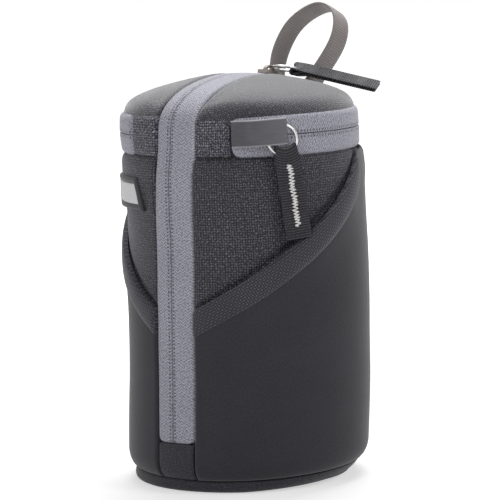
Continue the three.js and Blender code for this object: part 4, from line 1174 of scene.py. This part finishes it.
start_turn = math.asin(SLOT_HALF / LID_RIM)
slot_y = np.linspace(-LID_RIM * math.cos(start_turn), ZIP_BACK, SLOT_POINTS)
end_turn = np.linspace(0, np.pi, SLOT_END_POINTS)[1:-1]
slot_line = np.concatenate([
    stacked(SLOT_HALF, slot_y),
    stacked(SLOT_HALF * np.cos(end_turn), ZIP_BACK + SLOT_ROUND * np.sin(end_turn)),
    stacked(-SLOT_HALF, slot_y[::-1])])
rim_turn = np.linspace(start_turn, 2 * np.pi - start_turn, RIM_POINTS)
rim_line = stacked(LID_RIM * np.sin(rim_turn), -LID_RIM * np.cos(rim_turn))
inner_line, outer_line = walk(slot_line, LID_COLUMNS), walk(rim_line, LID_COLUMNS)
across_lid = np.concatenate([[0, 0.01, 0.03, 0.06], np.linspace(0.1, 0.88, 26),
                             [0.92, 0.95, 0.975, 0.99, 1]])[:, None]
plan = inner_line + (outer_line - inner_line) * across_lid[..., None]
plan_radius = np.linalg.norm(plan, axis=2)
from_slot = (np.linalg.norm(outer_line - inner_line, axis=1) + 1e-6) * across_lid

# %% [markdown]
# ## The lid's cloth
# The foam makes the lid full towards its rim, where the cloth rolls over a shoulder. The shoulder is an arc
# that runs past its widest point, so the cloth turns under. The flat cloth is as long as that arc, so the
# weave isn't drawn out on it.

# %% Lid cover
FULL, FULL_WIDE, FULL_FROM_SLOT, LID_LIFT = 2.8, 18.0, 8.0, 0.5
SHOULDER, SHOULDER_REACH, SHOULDER_BLEND = 9.0, 50.4, 2.0
SHOULDER_FROM, SHOULDER_TO = math.radians(26), math.radians(105)
SLOT_ROLL = (2.4, 1.6)
FRONT_WIDE, FRONT_BACK, FRONT_LONG = 30, 20, 60
DRIFT_ON, DRIFT_FRONT, DRIFT_LONG = 12, 45, 80


def dome_height(x, y):
    """The sphere's height above a point of the plan."""
    return DOME_CENTRE + np.sqrt(DOME_RADIUS ** 2 - x ** 2 - y ** 2)


def lid_face(radius):
    """The dome, a little fuller towards its rim, at each point of the plan brought to a radius."""
    x, y = np.moveaxis(plan * (radius / plan_radius)[..., None], -1, 0)
    beside = 1 - np.exp(-(from_slot / FULL_FROM_SLOT) ** 2)
    full = FULL * np.exp(-((LID_RIM - radius) / FULL_WIDE) ** 2) * beside
    return dome_height(x, y) + ridge(x, y) + LID_LIFT + full


shoulder_start = SHOULDER_REACH - SHOULDER * (1 - math.sin(SHOULDER_FROM))
blend_start = shoulder_start - SHOULDER_BLEND
over = np.clip((plan_radius - blend_start) / (LID_RIM - blend_start), 0, 1)
rolled = SHOULDER_FROM + (SHOULDER_TO - SHOULDER_FROM) * over
flat_radius = plan_radius * shoulder_start / blend_start
arc_out = SHOULDER * (np.sin(rolled) - math.sin(SHOULDER_FROM))
arc_down = SHOULDER * (math.cos(SHOULDER_FROM) - np.cos(rolled))
arc_length = SHOULDER * (rolled - SHOULDER_FROM)
lid_radius = np.where(over > 0, shoulder_start + arc_out, flat_radius)
lid_length = np.where(over > 0, shoulder_start + arc_length, flat_radius)
lid_rise = lid_face(np.minimum(flat_radius, shoulder_start)) - np.where(over > 0, arc_down, 0)
lid_rise = lid_rise - roll_in(from_slot, *SLOT_ROLL)
lid_uv = plan * (lid_length / plan_radius)[..., None]
lid_x, lid_y = np.moveaxis(plan * (lid_radius / plan_radius)[..., None], -1, 0)
# Near the front the lid's cloth follows the zip's drift, read at the zip's height or run beside each point.
near_front = np.exp(-(lid_x / FRONT_WIDE) ** 2) * np.clip((FRONT_BACK - lid_y) / FRONT_LONG, 0, 1)
lid_shift = drift(BAND_LOW + DRIFT_ON + np.clip(lid_y + DRIFT_FRONT, 0, DRIFT_LONG)) * near_front
sway_x, sway_y = sway(lid_rise)
lid_out = stacked(lid_x + lid_shift + sway_x, lid_y + sway_y, lid_rise)
lid_in = lid_out - [0, 0, COVER]
lid_blank = merged(*slab(lid_out[:, ::-1], lid_in[:, ::-1], lid_uv[:, ::-1]))
piece("lid_cloth", lid_blank, lid_weave, "lid", ["lid_cover"])

# %% Lid padding
LID_PAD_OUT, LID_PAD_IN, LID_PAD_ROLL = 47.6, 45.0, 0.06
pad_share = np.linspace(0.02, 1, 40)


def lid_pad_face(reach, below, roll):
    """A face of the pad: the dome's arc out to a reach, sunk below it, and rolled at its edge by roll mm."""
    radius = reach * pad_share
    return stacked(radius, dome_height(radius, 0) - below - roll_in(1 - pad_share, LID_PAD_ROLL, roll))


pad_out = lid_pad_face(LID_PAD_OUT, below=3.6, roll=2.0)
pad_in = lid_pad_face(LID_PAD_IN, below=6.6, roll=-1.0)[::-1]
lid_profile = np.concatenate([[[0, pad_out[0, 1]]], pad_out, pad_in, [[0, pad_in[-1, 1]]]])
lid_pad = piece("lid_padding", lathe(lid_profile, PAD_SIDES), tricot, "lid", ["lid_foam", "lid_lining"])
print("lid cover and padding made")

# %% [markdown]
# ## The foot of the zip
# Below the zip a patch of fine woven cloth closes the front down to the base seam.

# %% Zip end patch
PATCH_LEFT, PATCH_RIGHT, PATCH_TOP = ZIP_LEFT + 0.3, ZIP_RIGHT - 0.3, ZIP_LOW - 0.1
PATCH_SIDE_ROLL, PATCH_TOP_ROLL, PATCH_OUT, PATCH_STEP = (1.2, 1.5), (1.6, 1.0), POCKET_OUT - 0.4, 1.2

angle, height = wall_grid(PATCH_LEFT, PATCH_RIGHT, BASE_SEAM, PATCH_TOP, PATCH_STEP)
patch_face = PATCH_OUT - side_rolls(angle, PATCH_LEFT, PATCH_RIGHT, *PATCH_SIDE_ROLL)
patch_face = patch_face - roll_in(PATCH_TOP - height, *PATCH_TOP_ROLL) - corner_in(height)
piece("zip_foot_patch", wall_slab(patch_face, angle, height, COVER), fine_weave, "case", ["zip_end_patch"])
print("zip foot patch", round((PATCH_RIGHT - PATCH_LEFT) * ARC, 1), "mm wide")

# %% [markdown]
# ## Rings and pulls
# Each slider carries a wire ring, and a webbing pull is folded round it and sewn to itself with a zigzag of
# white thread. The pull is a strap carried along a path: up the back, round the ring's wire and down the
# front. Its fold follows the ring's curve, so it gathers a little there.

# %% Rings
RING_RADIUS, TOP_RING_RADIUS, RING_WIRE = 5.9, 6.2, 0.65
RING_POINTS, RING_SIDES = 73, 14
joints = {joint["name"]: joint for joint in frame["joints"]}


def joint_place(name):
    """A joint's point in mm and its axis."""
    return np.array(joints[name]["pos_m"]) / MM, np.array(joints[name]["axis"], dtype=float)


def box_middle(box):
    """The middle in mm of a CAD node's box."""
    low, high = (np.array(corner) / MM for corner in box)
    return (low + high) / 2


def ring_blank(centre, right, down, radius):
    """A wire bent into a ring: a tube whose line closes on itself."""
    turn = np.linspace(0, 2 * np.pi, RING_POINTS)[:, None]
    line = centre + radius * (np.cos(turn) * right + np.sin(turn) * down)
    ahead = -np.sin(turn) * right + np.cos(turn) * down
    inwards = np.cross(ahead, np.cross(right, down))
    points, faces, uv, _ = tube(line, ahead, inwards, RING_WIRE, RING_SIDES)
    return merged(points, faces, uv)


def pull_frame(lift_joint, outward):
    """The pull's own directions: right along its hinge, outward from the face, and down = right x outward."""
    eye_point, axis = joint_place(lift_joint)
    right = unit(axis)
    outward = unit(outward - (outward @ right) * right)
    return eye_point, right, outward, np.cross(right, outward)


# %% Straps
PULL_WIDTH, PULL_PLY, PULL_SET_OUT, PULL_STEP = 10.5, 1.1, 0.8, 0.15
STRAP_COLUMNS, FOLD_FROM, FOLD_GAP, PLY_GAP = 13, 1.4, 0.15, 0.04
SETTLE_OVER, SETTLE_POWER = 6.0, 1.5
GATHER, GATHER_OVER = 0.14, 5.0
SAG_HALF, SAG_OVER, SAG_SHARE = 5.2, 12.0, 0.9
END_ROUND, END_LEAST, EDGE_THIN, EDGE_POWER = 1.2, 1.02, 0.75, 8


def strap_lines(eye_point, right, outward, down, reach):
    """The strap's middle surface: columns across, rows along the back ply, round the wire by a half circle,
    and down the front ply. The plies settle together below the wire, and the fold sags with the ring."""
    across = np.linspace(-PULL_WIDTH / 2, PULL_WIDTH / 2, STRAP_COLUMNS)
    bend = RING_WIRE + FOLD_GAP + PULL_PLY / 2
    length = np.arange(reach, FOLD_FROM, -PULL_STEP)
    turn = np.linspace(0, np.pi, 14)[1:-1]
    ply = np.concatenate([-np.ones(len(length)), -np.cos(turn), np.ones(len(length))])
    along = np.concatenate([length, -bend * np.sin(turn), length[::-1]])
    settle = np.clip(along / SETTLE_OVER, 0, 1) ** SETTLE_POWER
    out = ply * (bend + (PULL_PLY / 2 + PLY_GAP - bend) * settle) + PULL_SET_OUT * settle
    gather = 1 - GATHER + GATHER * np.clip(along / GATHER_OVER, 0, 1)
    x = across[None] * gather[:, None]
    sag = RING_RADIUS - np.sqrt(RING_RADIUS ** 2 - np.clip(x, -SAG_HALF, SAG_HALF) ** 2)
    y = along[:, None] - sag * np.clip(1 - along / SAG_OVER, 0, 1)[:, None] * SAG_SHARE
    run = run_along(np.stack([along, out], 1))
    points = eye_point + x[..., None] * right + y[..., None] * down + out[:, None, None] * outward
    return points, stacked(across[None], run[:, None]), run


def strap_blank(points, uv, run, thickness, rib, pitch):
    """Gives a strap surface its thickness along its own normal, with ribs: rib * sin(2 pi run / pitch). It
    thins along its sides, and both of its ends are rounded over END_ROUND mm by a quarter circle."""
    ahead, sideways = np.gradient(points, axis=0), np.gradient(points, axis=1)
    normal = unit(np.cross(sideways, ahead))
    edge = np.linspace(-1, 1, points.shape[1])[None, :, None]
    from_end = np.minimum(run, run[-1] - run)
    ended = np.sqrt(END_LEAST - np.clip(1 - from_end / END_ROUND, 0, 1) ** 2)[:, None, None]
    body = np.sqrt(1 - EDGE_THIN * np.abs(edge) ** EDGE_POWER) * np.minimum(ended, 1)
    half = thickness / 2 * body + rib * np.sin(2 * np.pi * run / pitch)[:, None, None] * body
    return slab(points + half * normal, points - half * normal, uv)


# %% Stitched pulls
PULL_RIB, PULL_RIB_PITCH = 0.12, 1.0
STITCH_HALF, STITCH_PITCH, STITCH_POINTS, STITCH_LIFT, THREAD = 1.4, 1.3, 8, 0.2, 0.3


def zigzag(points_at, start, stop):
    """A zigzag thread: a triangle wave along the strap, held STITCH_LIFT off its face. Slow waves make its
    width, its pace and its line uneven, as hand-fed sewing is."""
    stitches = round((stop - start) / STITCH_PITCH)
    along = np.linspace(start, stop, stitches * STITCH_POINTS + 1)
    width = STITCH_HALF * (1 + 0.16 * np.sin(2.1 * along) + 0.14 * np.sin(4.7 * along + 1))
    phase = 2 * np.pi * (along - start) / STITCH_PITCH + 0.9 * np.sin(0.9 * along)
    swing = width * (2 / np.pi) * np.arcsin(0.98 * np.sin(phase)) + 0.18 * np.sin(0.6 * along + 2)
    line = points_at(along, swing, STITCH_LIFT)
    return tube(line, np.gradient(line, axis=0), points_at(along, swing, STITCH_LIFT + 1) - line, THREAD)


def make_pull(body, directions, reach, sewn, face):
    """A pull's strap, and stitches between the lengths sewn on one face: 1 is the outer, -1 the lower."""
    eye_point, right, outward, down = directions
    strap = strap_blank(*strap_lines(*directions, reach), PULL_PLY, PULL_RIB, PULL_RIB_PITCH)
    piece(f"{body}_strap", strap, black_webbing, body, [body])

    def on_face(along, swing, lift):
        """A point over that face: down along the strap, across it by swing, and off it by lift."""
        out = PULL_SET_OUT + face * (PULL_PLY + lift)
        return eye_point + swing[:, None] * right + along[:, None] * down + out * outward

    piece(f"{body}_zigzag", zigzag(on_face, *sewn), white_thread, body, [])


# %% Top ring and pull
TOP_RING_IN, TOP_RING_DROP = 1.0, 0.85
TOP_PULL_TURN, TOP_PULL_SLIP = math.radians(2.0), 0.5

bail_point, outward = joint_place("top_ring_swing")
eye_point, right, outward, down = pull_frame("top_pull_lift", outward)
if down[2] > 0:
    right, down = -right, -down
ring_mid = box_middle(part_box("top_slider_ring"))
ring_mid = ring_mid + TOP_RING_IN * unit(bail_point - ring_mid) - [0, 0, TOP_RING_DROP]
piece("top_ring_wire", ring_blank(ring_mid, right, down, TOP_RING_RADIUS), nickel, "top_ring",
      ["top_slider_ring"])
right, down = turn_pair(right, down, TOP_PULL_TURN)
make_pull("top_pull", (eye_point + TOP_PULL_SLIP * right, right, outward, down), reach=36.8,
          sewn=(5.4, 31.4), face=1)

# %% Side ring and pull
SIDE_SLIP, SIDE_RISE = 2.0, 1.2
SIDE_DROOP, SIDE_ROLL = math.radians(8.5), math.radians(-29)

bail_point, side_up = joint_place("side_ring_swing")
eye_point, right, outward, down = pull_frame("side_pull_lift", side_up)
if down @ (eye_point - bail_point) < 0:
    right, down = -right, -down
down, outward = turn_pair(down, outward, SIDE_DROOP)
right, outward = turn_pair(right, outward, SIDE_ROLL)
side_slip = SIDE_SLIP * picture_right + [0, 0, SIDE_RISE]
ring_x = unit(np.cross(side_up, [0, -1.0, 0]))
ring_mid = box_middle(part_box("side_slider_ring")) + side_slip
piece("side_ring_wire", ring_blank(ring_mid, ring_x, np.cross(side_up, ring_x), RING_RADIUS), nickel,
      "side_ring", ["side_slider_ring"])
make_pull("side_pull", (eye_point + side_slip, right, outward, down), reach=36.0, sewn=(6.5, 30.5), face=-1)
for slider in ("top_slider_body", "side_slider_body"):
    refinish(slider, satin_nickel)
print("rings, pulls and stitches made")

# %% [markdown]
# ## Tab, label and straps
# The tab that hides the parked slider is a tongue of faux leather sewn at one end. The label is left bare: a
# rubber frame round a pale field. The grab loop is a strap standing up from the dome, and a wide strap on the
# back takes a belt.

# %% Garage tab
TAB_START, TAB_LOW, TAB_THICK, TAB_TILT = 30.9, 147.6, 1.0, 0.9
TAB_SEWN, TAB_STEP_OUT, TAB_STEP_SHARE, TAB_MIDDLE = 53.5, 4.0, 0.4, 56.6
TAB_BOW, TAB_DRAW, TAB_ROLL = 0.6, 0.5, (0.5, 0.4)

tab_share = np.concatenate([[0, 0.01, 0.03], np.linspace(0.06, 0.94, 36), [0.97, 0.99, 1]])
tab_side = (1 - np.cos(np.linspace(0, np.pi, 13))) / 2
share, side = np.meshgrid(tab_share, tab_side)
tab_radius = TAB_SEWN + TAB_STEP_OUT * smooth_step(np.clip(share / TAB_STEP_SHARE, 0, 1))
tab_radius = tab_radius + TAB_BOW * np.sin(np.pi * side) - TAB_DRAW * share
tab_edge = np.minimum(np.minimum(share, 1 - share) * TAB_LENGTH, np.minimum(side, 1 - side) * TAB_TALL)
tab_round = roll_in(tab_edge, *TAB_ROLL)
tab_angle = TAB_START + np.degrees(share * TAB_LENGTH / TAB_MIDDLE)
tab_height = TAB_LOW + TAB_TALL * side + TAB_TILT * share
tab_out = around(tab_radius + TAB_THICK - tab_round, tab_angle, tab_height)
tab_in = around(tab_radius + tab_round, tab_angle, tab_height)
tab_uv = np.stack([share * TAB_LENGTH, side * TAB_TALL], -1)
piece("garage_tab_leather", slab(tab_out, tab_in, tab_uv), leather, "garage_tab", ["garage_tab"])
print("garage tab", TAB_LENGTH, "by", TAB_TALL, "mm")

# %% Label
LABEL_LEFT, LABEL_RIGHT, LABEL_LOW, LABEL_HIGH, LABEL_SLANT = -57.0, -21.8, 119.9, 134.0, 0.39
LABEL_STEP, FRAME_WIDE, FRAME_SLOPE, EDGE_STEP = 1.6, 2.0, 0.5, 0.3


def label_blank(inset, back, front, edge, dish):
    """A moulded plate on the wall between two radii, inset from the label's outline, with a round edge.
    Inside a border FRAME_WIDE across, its face sinks by dish mm."""
    left, right = LABEL_LEFT + inset / ARC, LABEL_RIGHT - inset / ARC
    low, high = LABEL_LOW + inset, LABEL_HIGH - inset
    angle, height = wall_grid(left, right, low, high, LABEL_STEP)
    border = from_edge(angle, height, left, right, low, high)
    face = front - roll_in(border, edge, front - back - EDGE_STEP)
    face = face - dish * np.clip((border - FRAME_WIDE) / FRAME_SLOPE, 0, 1)
    slanted = angle + LABEL_SLANT * ((LABEL_LOW + LABEL_HIGH) / 2 - height)
    return wall_slab(face, slanted, height, face - back)


piece("label_frame", label_blank(inset=0, back=51.7, front=53.6, edge=0.9, dish=0.7), rubber, "left_flap",
      ["label_patch"])
piece("label_field", label_blank(inset=2.7, back=52.7, front=53.35, edge=0.5, dish=0), pale_field,
      "left_flap", [])
print("bare label", round((LABEL_RIGHT - LABEL_LEFT) * ARC, 1), "mm long")

# %% Grab loop
LOOP_FOOT = np.array([-1.1, 42.8])
LOOP_HEADING, LOOP_LEAN = math.radians(80), math.radians(25.5)
LOOP_POINTS = np.array([[-11, 0], [-15, 18.5], [-10.4, 32.6], [3.6, 40.5], [14.8, 36], [18.2, 25], [8.5, 0]])
LOOP_WIDTH, LOOP_THICK, LOOP_RIB, LOOP_RIB_PITCH = 10.0, 1.4, 0.04, 1.2
LOOP_ROWS, SPAN_POINTS = 260, 24
FOOT_ROWS, FOOT_POWER, FOOT_LIFT, FOOT_IN = 20, 1.5, 0.2, np.array([0, 4.0, 0])


def smooth_line(points, count):
    """A centripetal curve through points: knots are the square roots of the gaps, and each span blends two
    arcs."""
    padded_points = np.concatenate([[2 * points[0] - points[1]], points, [2 * points[-1] - points[-2]]])
    gaps = np.linalg.norm(np.diff(padded_points, axis=0), axis=1)
    knots = np.concatenate([[0], np.cumsum(np.sqrt(gaps))])
    spans = []
    for i in range(1, len(padded_points) - 2):
        p, t = padded_points[i - 1:i + 3], knots[i - 1:i + 3]
        at = np.linspace(t[1], t[2], count, endpoint=False)[:, None]
        a = [((t[j + 1] - at) * p[j] + (at - t[j]) * p[j + 1]) / (t[j + 1] - t[j]) for j in range(3)]
        b = [((t[j + 2] - at) * a[j] + (at - t[j]) * a[j + 1]) / (t[j + 2] - t[j]) for j in range(2)]
        spans.append(((t[2] - at) * b[0] + (at - t[1]) * b[1]) / (t[2] - t[1]))
    return np.concatenate(spans + [points[-1:]])


loop_line = walk(smooth_line(LOOP_POINTS, SPAN_POINTS), LOOP_ROWS)
loop_along = np.array([math.sin(LOOP_HEADING), -math.cos(LOOP_HEADING), 0])
loop_back = np.array([-loop_along[1], loop_along[0], 0])
loop_rise = np.array([0, 0, math.cos(LOOP_LEAN)]) + math.sin(LOOP_LEAN) * loop_back
loop_foot = np.array([*LOOP_FOOT, dome_height(*LOOP_FOOT)])
loop_mid = loop_foot + loop_line[:, :1] * loop_along + loop_line[:, 1:] * loop_rise
loop_side = np.linspace(-LOOP_WIDTH / 2, LOOP_WIDTH / 2, STRAP_COLUMNS)
loop_points = loop_mid[:, None] + loop_side[None, :, None] * np.cross(loop_along, loop_rise)
# Each foot settles on the lid's cloth: over its last rows it draws in from the rim and takes the height of
# the nearest point of the cloth.
settle = np.linspace(1, 0, FOOT_ROWS)[:, None] ** FOOT_POWER
first_rows = np.arange(FOOT_ROWS)
for rows in (first_rows, LOOP_ROWS - 1 - first_rows):
    foot = loop_points[rows] - settle[..., None] * FOOT_IN
    gap = np.linalg.norm(foot[:, :, None, :2] - lid_out[..., :2].reshape(-1, 2), axis=-1)
    seat = lid_out[..., 2].ravel()[gap.argmin(-1)] + FOOT_LIFT
    foot[..., 2] += settle * (seat - foot[..., 2])
    loop_points[rows] = foot
loop_run = np.linspace(0, run_along(loop_line)[-1], LOOP_ROWS)
loop_uv = stacked(loop_side[None], loop_run[:, None])
loop_blank = strap_blank(loop_points, loop_uv, loop_run, LOOP_THICK, LOOP_RIB, LOOP_RIB_PITCH)
piece("grab_loop_strap", loop_blank, taupe_webbing, "lid", ["grab_loop"])
print("grab loop:", round(loop_run[-1]), "mm of taupe strap")

# %% Belt loop
BELT_HALF, BELT_LOW, BELT_HIGH, BELT_WALL = 19.0, 30.0, 105.0, 53.9
BELT_SEWN, BELT_RAMP, BELT_ROOM = 9.0, 6.0, 5.4
BELT_THICK, BELT_RIB, BELT_RIB_PITCH, BELT_STEP = 1.6, 0.06, 1.0, 0.2

belt_run = np.arange(BELT_LOW, BELT_HIGH + 0.01, BELT_STEP)
belt_x = np.linspace(-BELT_HALF, BELT_HALF, 25)
from_end = np.minimum(belt_run - BELT_LOW, BELT_HIGH - belt_run)
belt_off = smooth_step(np.clip((from_end - BELT_SEWN) / BELT_RAMP, 0, 1))[:, None]
belt_back = np.sqrt(BELT_WALL ** 2 - belt_x ** 2)[None]
belt_y = belt_back + belt_off * (BELT_WALL + BELT_ROOM - belt_back)
sway_x, sway_y = sway(belt_run[:, None])
belt_points = stacked(sway_x - belt_x[None], belt_y + sway_y, belt_run[:, None])
belt_uv = stacked(belt_x[None], belt_run[:, None])
belt_blank = strap_blank(belt_points, belt_uv, belt_run, BELT_THICK, BELT_RIB, BELT_RIB_PITCH)
piece("belt_loop_strap", belt_blank, black_webbing, "case", ["belt_loop"])
print("belt loop", BELT_HIGH - BELT_LOW, "mm long with room for", BELT_ROOM, "mm")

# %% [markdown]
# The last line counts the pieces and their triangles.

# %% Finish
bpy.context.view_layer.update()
triangles = sum(len(polygon.vertices) - 2 for made in PIECES for polygon in made.data.polygons)
print(len(PIECES), "pieces,", triangles, "triangles")
